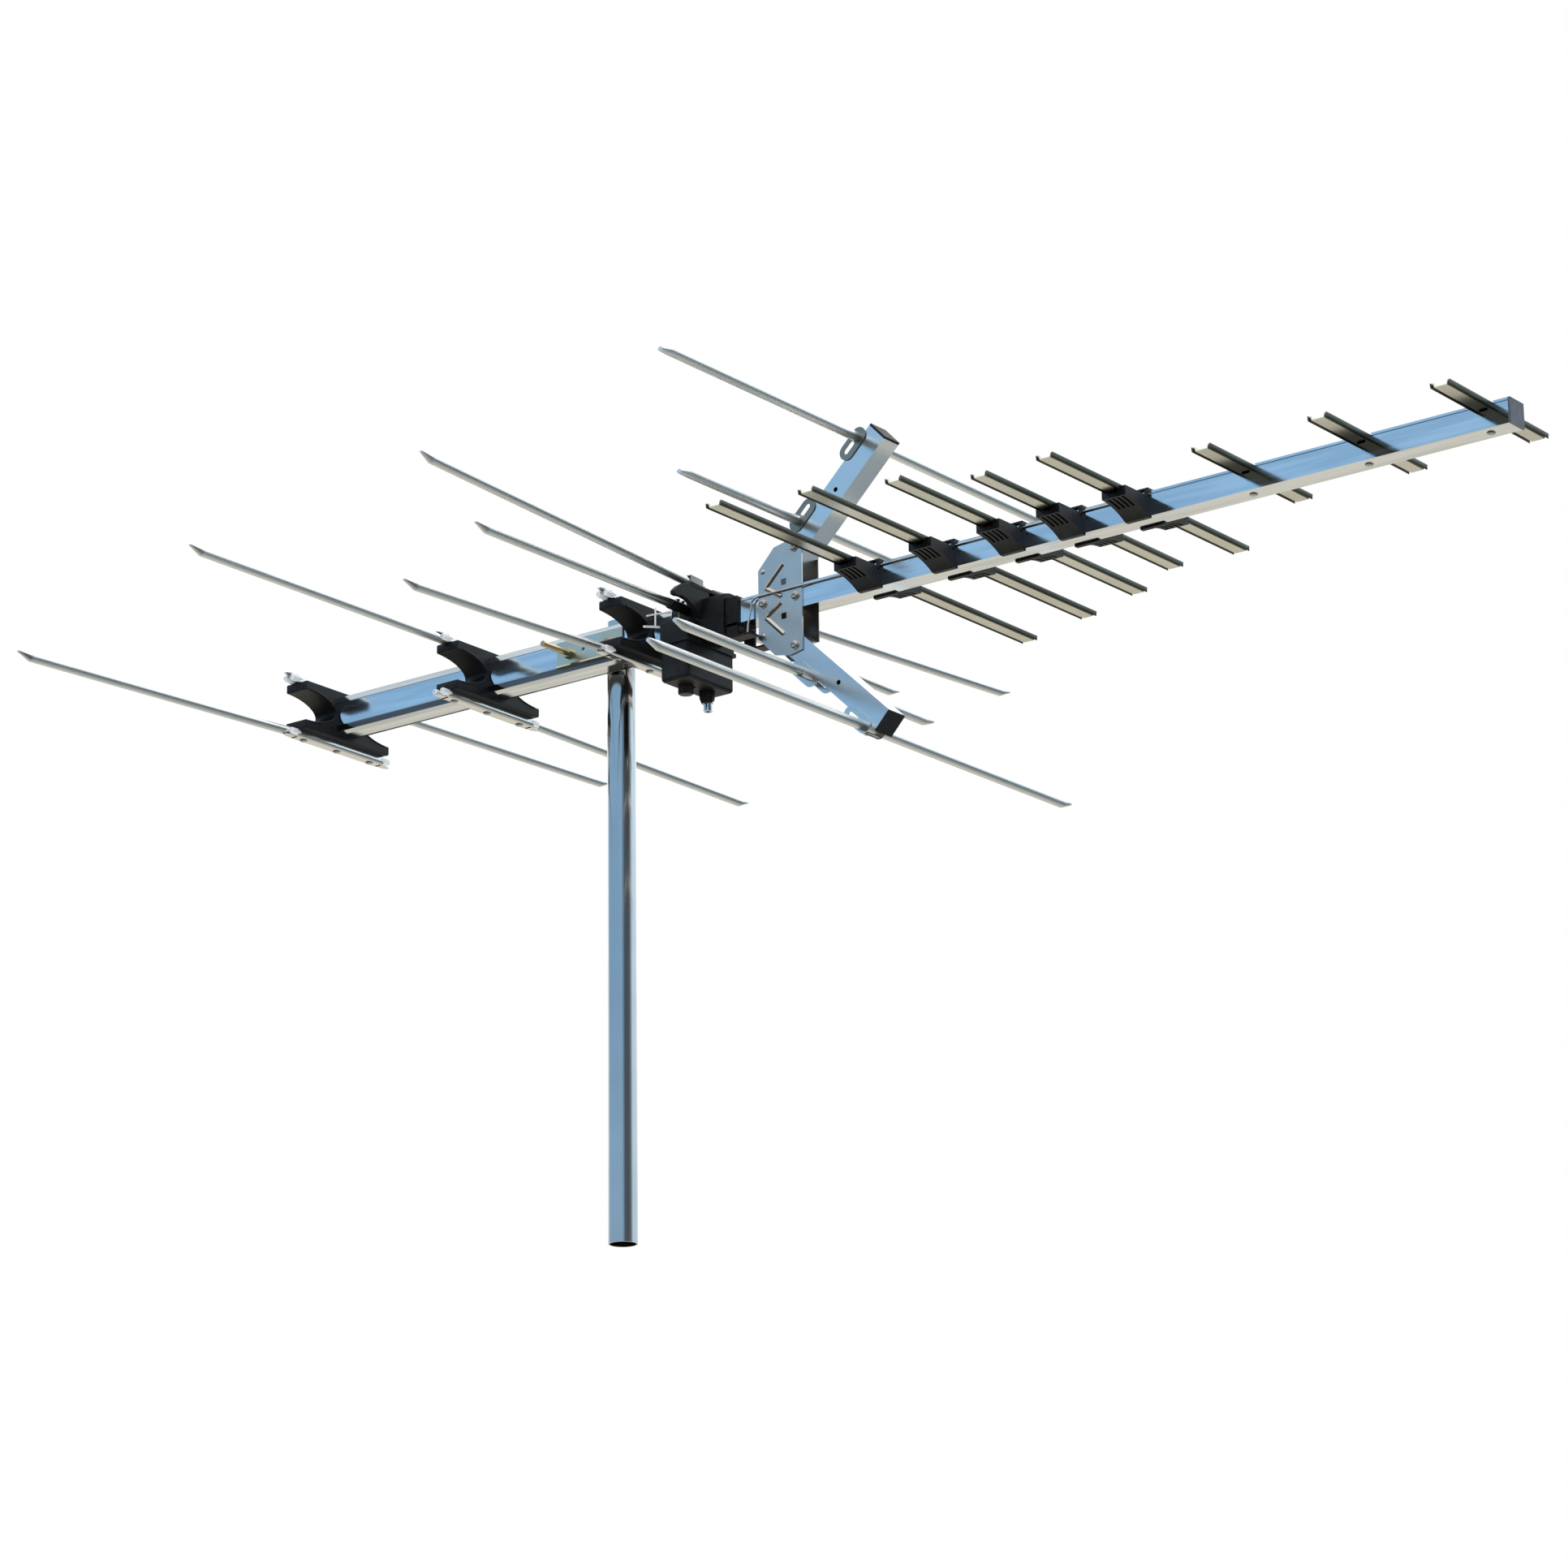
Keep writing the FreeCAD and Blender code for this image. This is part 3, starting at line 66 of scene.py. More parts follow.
class ShaderMaker:
    """Builds a node tree. add() takes a node's type, its settings and what goes into its sockets."""

    def __init__(self, tree):
        self.tree = tree

    def add(self, kind, settings, inputs, output=0):
        node = self.tree.nodes.new(kind)
        stops = settings.get("stops")
        for name, value in settings.items():
            if name != "stops":
                setattr(node, name, value)
        if stops:
            elements = node.color_ramp.elements
            elements[0].position, elements[0].color = stops[0]
            elements[1].position, elements[1].color = stops[-1]
            for place, colour in stops[1:-1]:
                elements.new(place).color = colour
        for name, value in inputs.items():
            self.fill(node.inputs[name], value)
        return Field(self, node.outputs[output])

    def fill(self, socket, value):
        if isinstance(value, Field):
            self.tree.links.new(value.socket, socket)
        else:
            socket.default_value = value

    def maths(self, operation, *values):
        return self.add("ShaderNodeMath", {"operation": operation}, dict(enumerate(values)))

    def blend(self, mask, first, second):
        """Colour between first, where the mask is 0, and second, where it is 1."""
        settings = {"data_type": "RGBA", "clamp_factor": True}
        return self.add("ShaderNodeMix", settings, {0: mask, 6: first, 7: second}, output=2)

    def step(self, value, low, high):
        """Smooth rise from 0 to 1 as the value goes from low to high."""
        settings = {"interpolation_type": "SMOOTHSTEP"}
        return self.add("ShaderNodeMapRange", settings, {"Value": value, "From Min": low, "From Max": high})

    def noise(self, scale, stretch=(1.0, 1.0, 1.0), detail=4.0, output=0):
        """Cloudy value of about 0.5, with bumps of one over scale metres, on the object's own axes."""
        place = self.add("ShaderNodeTexCoord", {}, {}, output=3)
        place = self.add("ShaderNodeMapping", {}, {"Vector": place, "Scale": stretch})
        return self.add("ShaderNodeTexNoise", {}, {"Vector": place, "Scale": scale, "Detail": detail}, output)


def new_finish(name, metallic, roughness):
    """A material and its maker, with its constant numbers set on the shader itself."""
    material = bpy.data.materials.new(name)
    material.use_nodes = True
    maker = ShaderMaker(material.node_tree)
    maker.material = material
    maker.shader = material.node_tree.nodes["Principled BSDF"].inputs
    maker.shader["Metallic"].default_value = metallic
    maker.shader["Roughness"].default_value = roughness
    return maker


def drawn_metal(name, colour, shade, axis, roughness, line_depth):
    """Metal drawn or rolled along an axis: fine lines that way, under slow changes of tint."""
    maker = new_finish(name, 1.0, roughness)
    stretch = [1.0, 1.0, 1.0]
    stretch[axis] = 0.004
    lines = maker.noise(900.0, stretch, detail=3.0)
    clouds = maker.noise(14.0, detail=3.0)
    specks = maker.noise(420.0, detail=2.0)
    tint = maker.step(clouds * 0.65 + lines * 0.35, 0.36, 0.66)
    maker.fill(maker.shader["Base Color"], maker.blend(tint, colour + (1.0,), shade + (1.0,)))
    spread = roughness + (lines - 0.5) * 0.10 + maker.step(specks, 0.62, 0.74) * 0.06 + (clouds - 0.5) * 0.08
    maker.fill(maker.shader["Roughness"], spread)
    bump = {"Height": lines + specks * 0.3, "Strength": line_depth, "Distance": 0.00004}
    maker.fill(maker.shader["Normal"], maker.add("ShaderNodeBump", {}, bump))
    return maker.material


def dress(material, *names):
    """Give CAD nodes their finish."""
    for name in names:
        slots = nodes[name].data.materials
        slots.clear()
        slots.append(material)


dress(drawn_metal("polished mast steel", (0.70, 0.665, 0.64), (0.62, 0.60, 0.59), 2, 0.13, 0.1), "mast")


# The mast clamp is a zinc-plated U-bolt with rolled threads, a jaw plate against the mast,
# and a bent plate and two nuts on the boom's other side. Its yellow passivation shifts in colour.
def yellow_zinc(name, bare, gold, pink, roughness):
    """Yellow chromate on zinc: a film that drifts from gold to pink, and is thin in patches."""
    maker = new_finish(name, 1.0, roughness)
    drift = maker.noise(46.0, detail=3.0)
    patches = maker.noise(17.0, detail=2.0)
    stops = [(0.25, bare), (0.45, gold), (0.60, pink), (0.80, bare)]
    film = maker.add("ShaderNodeValToRGB", {"stops": stops}, {"Fac": drift})
    thin = maker.step(patches, 0.44, 0.62)
    maker.fill(maker.shader["Base Color"], maker.blend(thin * 0.8, film, bare))
    grain = maker.noise(700.0, detail=3.0)
    maker.fill(maker.shader["Roughness"], roughness + (grain - 0.5) * 0.10 + (drift - 0.5) * 0.12)
    bump = {"Height": grain, "Strength": 0.15, "Distance": 0.00004}
    maker.fill(maker.shader["Normal"], maker.add("ShaderNodeBump", {}, bump))
    return maker.material


plate_zinc = yellow_zinc("thin yellow zinc", (0.66, 0.72, 0.66, 1.0), (0.72, 0.68, 0.46, 1.0),
                         (0.72, 0.64, 0.54, 1.0), 0.28)
bolt_zinc = yellow_zinc("deep yellow zinc", (0.70, 0.56, 0.30, 1.0), (0.78, 0.55, 0.24, 1.0),
                        (0.70, 0.42, 0.24, 1.0), 0.24)
dress(plate_zinc, "mast_clamp_plate", "mast_clamp_nuts", "mast_saddle")
dress(bolt_zinc, "mast_u_bolt")


# The rear boom is a roll-formed tube, creased along each side and polished like a mirror.
# The front boom is a plain square tube of the same stock. Both are closed by moulded ends.
BOOM_LEVEL = 0.616


def metal_with_painted_stripes(name, stripes):
    """Polished metal with painted dark stripes along it: painted crease shade, and a painted reflection of
    the dark ground where a bend turns toward it.

    A stripe is its middle height over the boom's axis and its half width, in metres, and its strength.
    """
    maker = new_finish(name, 1.0, 0.14)
    streaks = maker.noise(60.0, (0.12, 1.0, 2.2), detail=4.0)
    lines = maker.noise(900.0, (0.004, 1.0, 1.0), detail=3.0)
    place = maker.add("ShaderNodeTexCoord", {}, {}, output=3)
    height = maker.add("ShaderNodeSeparateXYZ", {}, {"Vector": place}, output=2)
    tint = maker.step(streaks * 0.8 + lines * 0.2, 0.40, 0.62)
    metal = maker.blend(tint, (0.72, 0.75, 0.78, 1.0), (0.88, 0.90, 0.92, 1.0))
    for middle, half_width, strength in stripes:
        away = maker.maths("ABSOLUTE", height - (BOOM_LEVEL + middle))
        stripe = 1.0 - maker.step(away, half_width * 0.8, half_width * 1.1)
        # Each stripe blends toward near black: painted shade and a painted reflection of the dark ground.
        metal = maker.blend(stripe * (strength + (streaks - 0.5) * 0.5), metal, (0.05, 0.055, 0.06, 1.0))
    maker.fill(maker.shader["Base Color"], metal)
    maker.fill(maker.shader["Roughness"], 0.12 + (streaks - 0.5) * 0.22 + (lines - 0.5) * 0.06)
    bump = {"Height": lines, "Strength": 0.1, "Distance": 0.00004}
    maker.fill(maker.shader["Normal"], maker.add("ShaderNodeBump", {}, bump))
    return maker.material


# Painted stripes: on the rear boom's lower bevel a wide painted reflection of the dark ground, and under the
# upper edges thin lines of painted crease shade.
REAR_PAINTED_STRIPES = ((-0.0155, 0.0032, 0.82), (0.0124, 0.0005, 0.7))
FRONT_PAINTED_STRIPES = ((0.0096, 0.0006, 0.75),)
dress(metal_with_painted_stripes("rear boom metal with painted stripes", REAR_PAINTED_STRIPES), "rear_boom")
dress(metal_with_painted_stripes("front boom metal with painted stripe", FRONT_PAINTED_STRIPES), "front_boom")


def moulded_plastic(name, colour, worn, roughness, grain_scale, grain_depth):
    """Moulded plastic: spark-eroded grain, dusty patches and a faint flow of tint."""
    maker = new_finish(name, 0.0, roughness)
    maker.shader["Specular IOR Level"].default_value = 0.32
    flow = maker.noise(22.0, detail=3.0)
    dust = maker.noise(160.0, detail=4.0)
    grain = maker.noise(grain_scale, detail=2.0)
    mask = maker.step(flow * 0.6 + dust * 0.4, 0.42, 0.68)
    maker.fill(maker.shader["Base Color"], maker.blend(mask, colour + (1.0,), worn + (1.0,)))
    maker.fill(maker.shader["Roughness"], roughness + (dust - 0.5) * 0.22 + (grain - 0.5) * 0.12)
    bump = {"Height": grain + dust * 0.4, "Strength": grain_depth, "Distance": 0.0006}
    maker.fill(maker.shader["Normal"], maker.add("ShaderNodeBump", {}, bump))
    return maker.material


slate_plastic = moulded_plastic("slate end plastic", (0.085, 0.095, 0.125), (0.14, 0.15, 0.18), 0.42,
                                900.0, 0.10)
black_plastic = moulded_plastic("black weathered plastic", (0.006, 0.006, 0.007), (0.016, 0.016, 0.018), 0.48,
                                1100.0, 0.16)
dress(slate_plastic, "front_boom_cap")
dress(black_plastic, "rear_boom_plug", "boom_joint_liner", "arm_caps")


# The brackets are black insulators, moulded as an hourglass round the boom, with a bead along each recess.
# Channels of bright plated steel, rolled with round bends, lie above and below and hold the passive rods.
# The channels' curled ears look white in the light, so they have a pale finish that isn't a metal: a painted
# highlight.
BOOM_ORIGIN = np.array((0.137, -0.034, BOOM_LEVEL))
BRACKET_STATIONS = (-503.0, -291.0, -72.0)
BRACKET_FACES = (-13.0, 16.0)
BRACKET_FLAT = 26.5
BRACKET_SOFT_EDGE = 0.7
HORN_REACH = 66.0
HORN_ROUND = 2.0
LIP_WIDTH = 1.0
LIP_HEIGHT = 1.2
RECESS_DEPTH = 46.0
RECESS_HALF = 16.8
BEAD_RADIUS = 0.9
BEAD_MARGIN = 1.3


def closed_piece(name, shells, finish, stands_for=(), crease=40.0):
    """Object made of closed shells of points in millimetres from the boom's origin.

    A shell is a list of rings. Its first and last rings are filled, unless they are the same ring.
    """
    corners = []
    faces = []
    count = 0
    for rings in shells:
        rows, columns = rings.shape[:2]
        index = count + np.arange(rows * columns).reshape(rows, columns)
        after = np.roll(index, -1, axis=1)
        quads = np.stack([index[:-1], after[:-1], after[1:], index[1:]], axis=-1).reshape(-1, 4)
        points = rings.reshape(-1, 3)
        middle = points.mean(axis=0)
        first, second, third, fourth = (points[quads[:, corner] - count] - middle for corner in range(4))
        volume = np.sum(np.cross(first, second) * third) + np.sum(np.cross(first, third) * fourth)
        shell_faces = quads.tolist()
        if np.allclose(rings[0], rings[-1]):
            repeat = (rows - 1) * columns
            shell_faces = [[corner - repeat if corner >= count + repeat else corner for corner in face]
                           for face in shell_faces]
            points = points[:-columns]
        else:
            shell_faces += [index[0][::-1].tolist(), index[-1].tolist()]
        if volume < 0.0:
            shell_faces = [face[::-1] for face in shell_faces]
        corners.append(points)
        faces += shell_faces
        count += len(points)
    mesh = bpy.data.meshes.new(name)
    mesh.from_pydata((np.concatenate(corners) * 0.001 + BOOM_ORIGIN).tolist(), [], faces)
    mesh.shade_smooth()
    mesh.set_sharp_from_angle(angle=math.radians(crease))
    mesh.materials.append(finish)
    piece = bpy.data.objects.new(name, mesh)
    bpy.context.scene.collection.objects.link(piece)
    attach(piece, "root")
    if stands_for:
        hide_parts(*stands_for)
    return piece


def spread(outline, axis, places):
    """Rings with one outline, at places along an axis. The outline gives the other two coordinates."""
    outline = np.array(outline)
    rings = [np.insert(outline, axis, place, axis=1) for place in places]
    return np.array(rings)


def arc(centre, radii, start, end, count):
    """Points centre + radii * (cos a, sin a), with a going from start to end in degrees."""
    angle = np.radians(np.linspace(start, end, count))
    return np.stack([centre[0] + radii[0] * np.cos(angle), centre[1] + radii[1] * np.sin(angle)], axis=-1)


def inset(outline, distance):
    """Outline moved inward by a distance, along the bisector of each corner's two edges."""
    after = np.roll(outline, -1, axis=0) - outline
    before = outline - np.roll(outline, 1, axis=0)
    along = after / np.linalg.norm(after, axis=1)[:, None] + before / np.linalg.norm(before, axis=1)[:, None]
    along /= np.linalg.norm(along, axis=1)[:, None]
    across = np.stack([-along[:, 1], along[:, 0]], axis=-1)
    area = np.sum(outline[:, 0] * np.roll(outline[:, 1], -1) - outline[:, 1] * np.roll(outline[:, 0], -1))
    return outline + across * distance * math.copysign(1.0, area)


def bracket_side():
    """Right half of an insulator's outline, from the upper flat round the recess to the lower flat."""
    upper = arc((HORN_REACH - HORN_ROUND, BRACKET_FLAT - HORN_ROUND), (HORN_ROUND,) * 2, 90.0, 0.0, 4)
    lip = arc((HORN_REACH - LIP_WIDTH, RECESS_HALF + LIP_HEIGHT), (LIP_WIDTH, LIP_HEIGHT), 0.0, -80.0, 4)
    recess = arc((HORN_REACH, 0.0), (RECESS_DEPTH, RECESS_HALF), 94.0, 266.0, 29)
    return np.concatenate([upper, lip, recess, lip[::-1] * (1.0, -1.0), upper[::-1] * (1.0, -1.0)])


def bead(path, x, radius):
    """Round bead along a path of (y, z) points at one x."""
    along = np.gradient(path, axis=0)
    along /= np.linalg.norm(along, axis=1)[:, None]
    angle = np.linspace(0.0, 2.0 * math.pi, 8, endpoint=False)
    across = np.stack([-along[:, 1], along[:, 0]], axis=-1)
    rings = path[:, None] + radius * across[:, None] * np.cos(angle)[None, :, None]
    depth = x + radius * np.sin(angle)[None, :] + 0.0 * rings[..., 0]
    return np.concatenate([depth[..., None], rings], axis=-1)


right_side = bracket_side()
bracket_outline = np.concatenate([right_side, right_side[::-1] * (-1.0, 1.0)])
bead_path = arc((HORN_REACH, 0.0), (RECESS_DEPTH + BEAD_MARGIN, RECESS_HALF + BEAD_MARGIN), 100.0, 260.0, 33)
rear_face, front_face = BRACKET_FACES
for number, station in enumerate(BRACKET_STATIONS, 1):
    edge = inset(bracket_outline, BRACKET_SOFT_EDGE)
    outlines = (edge, bracket_outline, bracket_outline, edge)
    places = (rear_face, rear_face + BRACKET_SOFT_EDGE, front_face - BRACKET_SOFT_EDGE, front_face)
    body = np.concatenate([spread(outline, 0, (place,)) for outline, place in zip(outlines, places)])
    beads = [bead(bead_path * (side, 1.0), x, BEAD_RADIUS) for side in (-1.0, 1.0) for x in BRACKET_FACES]
    shells = [shell + (station, 0.0, 0.0) for shell in [body] + beads]
    closed_piece("hourglass_insulator_" + str(number), shells, black_plastic,
                 ["element_bracket_" + str(number)])

channel_finish = drawn_metal("plated channel steel", (0.90, 0.88, 0.84), (0.80, 0.79, 0.76), 1, 0.17, 0.2)
# The ears' finish is white and not a metal: a painted highlight in place of the plated steel's bright
# reflection.
painted_highlight_finish = drawn_metal("plated steel with painted white highlight", (0.96, 0.97, 0.98), (0.84, 0.86, 0.88), 1, 0.30, 0.2)
painted_highlight_finish.node_tree.nodes["Principled BSDF"].inputs["Metallic"].default_value = 0.0
CHANNEL_HALF = 7.2
CHANNEL_TOP = 34.3
CHANNEL_WALL = 1.0
CHANNEL_BEND = 3.4
FLANGE_REACH = 68.0
TONGUE_REACH = 82.0
EAR_RADII = (3.1, 3.6)
EAR_STEPS = ((-5.0, 0.8), (0.0, 1.0), (7.0, 1.0), (9.0, 0.85), (9.2, 0.6), (8.0, 0.5))


def channel_section():
    """U section with round bends: out along one face of the metal and back along the other."""
    bend = (CHANNEL_HALF - CHANNEL_BEND, CHANNEL_TOP - CHANNEL_BEND)
    outer = arc(bend, (CHANNEL_BEND, CHANNEL_BEND), 0.0, 90.0, 8)
    inner = arc(bend, (CHANNEL_BEND - CHANNEL_WALL,) * 2, 0.0, 90.0, 8)
    outer = np.concatenate([[(CHANNEL_HALF, BRACKET_FLAT)], outer])
    inner = np.concatenate([[(CHANNEL_HALF - CHANNEL_WALL, BRACKET_FLAT)], inner])
    outer = np.concatenate([outer, outer[::-1] * (-1.0, 1.0)])
    inner = np.concatenate([inner, inner[::-1] * (-1.0, 1.0)])
    return np.concatenate([outer, inner[::-1]])


def channel_shells(level):
    """One channel: the U, and a pointed tongue at each end of its web."""
    section = channel_section()
    shells = [spread(section, 1, (-FLANGE_REACH, FLANGE_REACH))]
    for end in (-1.0, 1.0):
        tongue = [(4.2, FLANGE_REACH - 3.0), (3.8, TONGUE_REACH - 5.0), (1.5, TONGUE_REACH),
                  (-1.5, TONGUE_REACH), (-3.8, TONGUE_REACH - 5.0), (-4.2, FLANGE_REACH - 3.0)]
        shells.append(spread(np.array(tongue) * (1.0, end), 2, (CHANNEL_TOP - CHANNEL_WALL, CHANNEL_TOP)))
    return [shell * (1.0, 1.0, level) for shell in shells]


def ear_shells(level):
    """Ears of one channel: each flange's end is curled in tightly, to a rounded block with a dented end.

    Each of EAR_STEPS is a ring's distance past the flange's end, and its scale.
    """
    curl = arc((0.0, 0.0), EAR_RADII, 0.0, 345.0, 24)
    shells = []
    for end in (-1.0, 1.0):
        for side in (-1.0, 1.0):
            rows = []
            for past, scale in EAR_STEPS:
                place = curl * (side * scale, scale) + (side * (CHANNEL_HALF - 2.4), CHANNEL_TOP - 4.6)
                rows.append(np.insert(place, 1, end * (FLANGE_REACH + past), axis=1))
            shells.append(np.array(rows))
    return [shell * (1.0, 1.0, level) for shell in shells]


for number, station in enumerate(BRACKET_STATIONS, 1):
    shells = [shell + (station, 0.0, 0.0) for level in (1.0, -1.0) for shell in channel_shells(level)]
    closed_piece("rolled_channels_" + str(number), shells, channel_finish,
                 ["rod_channels_" + str(number)], crease=32.0)
    # The curled ears get the white finish with the painted highlight.
    shells = [shell + (station, 0.0, 0.0) for level in (1.0, -1.0) for shell in ear_shells(level)]
    closed_piece("curled_ears_" + str(number), shells, painted_highlight_finish)


# The long rods are thin aluminium tubes, drawn and left bare, with a rivet or a screw near the boom.
# A press draws each outer end to a short nib. On the rods of the brackets the nib is slender, and its
# upper edge runs on almost straight. On the reflector rods it is blunt, and lies toward the boom.
ROD_SPOKES = 28
SUPPORT_GAP = 1.5


def rod_surface(inner, outer, radius, nib, tip_height, tip_width, lift):
    """Rings of a rod along +Y, open at its inner end, with a ring of the shaft just behind the nib.

    With s from 0 to 1 over the nib, the half height is radius * (1 - (1 - tip_height) * s), the half
    width is radius * (1 - (1 - tip_width) * s), and the centre rises by lift times the lost half height.
    """
    around = np.linspace(0.0, 2.0 * math.pi, ROD_SPOKES, endpoint=False)
    along = np.concatenate([[inner, outer - nib - SUPPORT_GAP], np.linspace(outer - nib, outer, 9)])
    share = np.clip((along - outer + nib) / nib, 0.0, 1.0)[:, None]
    half_height = radius * (1.0 - (1.0 - tip_height) * share)
    half_width = radius * (1.0 - (1.0 - tip_width) * share)
    rise = lift * (radius - half_height)
    outside = np.stack([half_width * np.cos(around), along[:, None] + 0.0 * around,
                        half_height * np.sin(around) + rise], axis=-1)
    bore = outside[0] * (0.83, 1.0, 0.83)
    deep = bore + (0.0, 2.0 * nib, 0.0)
    return np.concatenate([[deep, bore], outside])


def placed_rod(rings, place, side, sweep):
    """Rings turned forward by the sweep in degrees, on one side of the boom, at a place in millimetres."""
    turn = math.radians(sweep)
    x = rings[..., 0] * math.cos(turn) + rings[..., 1] * math.sin(turn)
    y = rings[..., 1] * math.cos(turn) - rings[..., 0] * math.sin(turn)
    turned = np.stack([x, side * y, rings[..., 2]], axis=-1)
    return turned + np.array(place)


rod_finish = drawn_metal("drawn rod aluminium", (0.92, 0.93, 0.91), (0.86, 0.87, 0.85), 1, 0.34, 0.03)
PASSIVE_PIVOT = 52.0
PASSIVE_LEVEL = 28.55
PASSIVE_RODS = ((1, -1, -1, 387.0, -5.3), (1, 1, 1, 392.0, 2.0), (2, -1, 1, 391.0, -0.7),
                (2, 1, -1, 403.0, -1.2), (3, -1, -1, 303.0, -3.9), (3, 1, 1, 303.0, 0.5))
SLIM_NIB = {"radius": 4.75, "nib": 16.0, "tip_height": 0.16, "tip_width": 0.40, "lift": 0.70}
FOLDED_PIVOT = 51.0
FOLDED_LEVEL = 36.0
FOLDED_RODS = ((7.0, -1, 4.3), (-2.0, 1, 6.0))
DRIVEN_STATION = -9.0
DRIVEN_LEVEL = 14.0
for number, station in enumerate(BRACKET_STATIONS, 1):
    shells = []
    for bracket, side, level, reach, sweep in PASSIVE_RODS:
        if bracket == number:
            rings = rod_surface(-8.0, reach, **SLIM_NIB)
            pivot = (station, side * PASSIVE_PIVOT, level * PASSIVE_LEVEL)
            shells.append(placed_rod(rings, pivot, side, sweep))
    closed_piece("pointed_passive_rods_" + str(number), shells, rod_finish,
                 ["passive_rods_" + str(number)])
folded_rod = rod_surface(-36.0, 430.0, **SLIM_NIB)
folded = [placed_rod(folded_rod, (station, side * FOLDED_PIVOT, FOLDED_LEVEL), side, sweep)
          for station, side, sweep in FOLDED_RODS]
closed_piece("pointed_folded_rods", folded, rod_finish, ["folded_rods"])
driven_rod = rod_surface(21.0, 345.0, **SLIM_NIB)
driven = [placed_rod(driven_rod, (DRIVEN_STATION, 0.0, DRIVEN_LEVEL), side, 0.0) for side in (-1, 1)]
closed_piece("pointed_driven_rods", driven, rod_finish, ["driven_rods"])

reflector_finish = drawn_metal("pale reflector aluminium", (0.97, 0.98, 0.97), (0.92, 0.94, 0.93), 1,
                               0.40, 0.03)
BLUNT_NIB = {"radius": 5.0, "nib": 15.0, "tip_height": 0.42, "tip_width": 0.6}
NIB_DROP = 0.8
ARM_ROOT = (125.5, 51.8)
ARM_RISE = math.radians(43.5)
ROD_BEHIND_ARM = 17.5
INNER_ROD = 22.2
OUTER_ROD = 125.8
REFLECTOR_RODS = (("upper_inner", INNER_ROD, 1, 203.0, 212.0), ("upper_outer", OUTER_ROD, 1, 325.0, 348.5),
                  ("lower_inner", INNER_ROD, -1, 211.0, 212.0), ("lower_outer", OUTER_ROD, -1, 345.0, 348.5))
for name, along, level, left_reach, right_reach in REFLECTOR_RODS:
    station = ARM_ROOT[0] + along * math.cos(ARM_RISE) - ROD_BEHIND_ARM * math.sin(ARM_RISE)
    height = ARM_ROOT[1] + along * math.sin(ARM_RISE) + ROD_BEHIND_ARM * math.cos(ARM_RISE)
    left = rod_surface(0.0, left_reach, lift=-NIB_DROP * level, **BLUNT_NIB)[:1:-1] * (1.0, -1.0, 1.0)
    right = rod_surface(0.0, right_reach, lift=-NIB_DROP * level, **BLUNT_NIB)[3:]
    rings = np.concatenate([left, right])
    closed_piece("nibbed_reflector_rod_" + name, [placed_rod(rings, (station, 0.0, level * height), 1, 0.0)],
                 reflector_finish, ["reflector_rod_" + name])


# The driven bracket is one black moulding over the joint of the booms: two drooping horns under a deck,
# cheeks against the rear boom, a sleeve on the front boom. Bent straps and small screws hold its four rods.
HORN_OUTLINE = ((0.0, 33.5), (40.0, 33.0), (48.0, 30.0), (56.0, 25.5), (62.5, 20.5), (65.0, 17.5),
                (64.7, 14.0), (60.0, 13.6), (53.0, 14.6), (44.0, 13.8), (37.5, 10.8), (32.0, 7.4),
                (22.6, 1.0), (0.0, -6.0))
HORN_SPAN = (7.0, 12.6)
REAR_SIDE = np.array(((16.0, 12.0), (15.0, 19.0), (8.0, 20.5), (-8.0, 20.5), (-15.0, 19.0), (-16.0, 12.0),
                      (-16.0, -12.0), (-15.0, -19.0), (-8.0, -20.5), (8.0, -20.5), (15.0, -19.0),
                      (16.0, -12.0)))
CHEEK_WALL = 3.0
CHEEK_SPAN = (-28.0, 39.0)
DECK = ((-10.0, 13.0), (-38.0, 38.0), (29.5, 33.4))
POST = ((-10.0, 12.6), (-9.0, 9.0), (0.0, 33.2))
LOWER_BLOCK = ((-28.0, 8.0), (-38.0, 38.0), (-24.0, -3.0))
SLEEVE = ((36.0, 54.0), (-16.0, 16.0), (-16.0, 16.0))
SLEEVE_RIDGE = ((36.0, 49.0), (-10.0, 10.0), (0.0, 18.5))
CRADLE_INNER = 16.0
CRADLE_OUTER = 46.0


def block(x_range, y_range, z_range):
    """Rings of a box."""
    y, z = y_range, z_range
    return spread([(y[0], z[0]), (y[1], z[0]), (y[1], z[1]), (y[0], z[1])], 0, x_range)


horn = np.array(HORN_OUTLINE)
horns = np.concatenate([horn, horn[:0:-1] * (-1.0, 1.0)])
cradle = np.concatenate([arc((DRIVEN_STATION, DRIVEN_LEVEL), (6.0, 6.2), 180.0, 360.0, 13),
                         arc((DRIVEN_STATION, DRIVEN_LEVEL), (4.9, 4.9), 360.0, 180.0, 13)])
moulding = [spread(horns, 0, HORN_SPAN), block(*DECK), block(*POST), block(*LOWER_BLOCK),
            spread(inset(REAR_SIDE, -CHEEK_WALL), 0, CHEEK_SPAN), block(*SLEEVE), block(*SLEEVE_RIDGE)]
for side in (-1.0, 1.0):
    moulding.append(spread(cradle, 1, (side * CRADLE_INNER, side * CRADLE_OUTER)))
    tray = sorted((side * 13.0, side * 28.0))
    moulding.append(block((40.0, 79.7), tray, (-33.0, -31.0)))
    web = sorted((side * 13.0, side * 16.0))
    moulding.append(block((40.0, 54.0), web, (-33.0, -12.0)))
driven_moulding = closed_piece("driven_bracket_moulding", moulding, black_plastic,
                               ["driven_bracket"], crease=28.0)
soft_edges = driven_moulding.modifiers.new("soft edges", "BEVEL")
soft_edges.width = 0.0008
soft_edges.segments = 2
soft_edges.limit_method = "ANGLE"
soft_edges.angle_limit = math.radians(40.0)
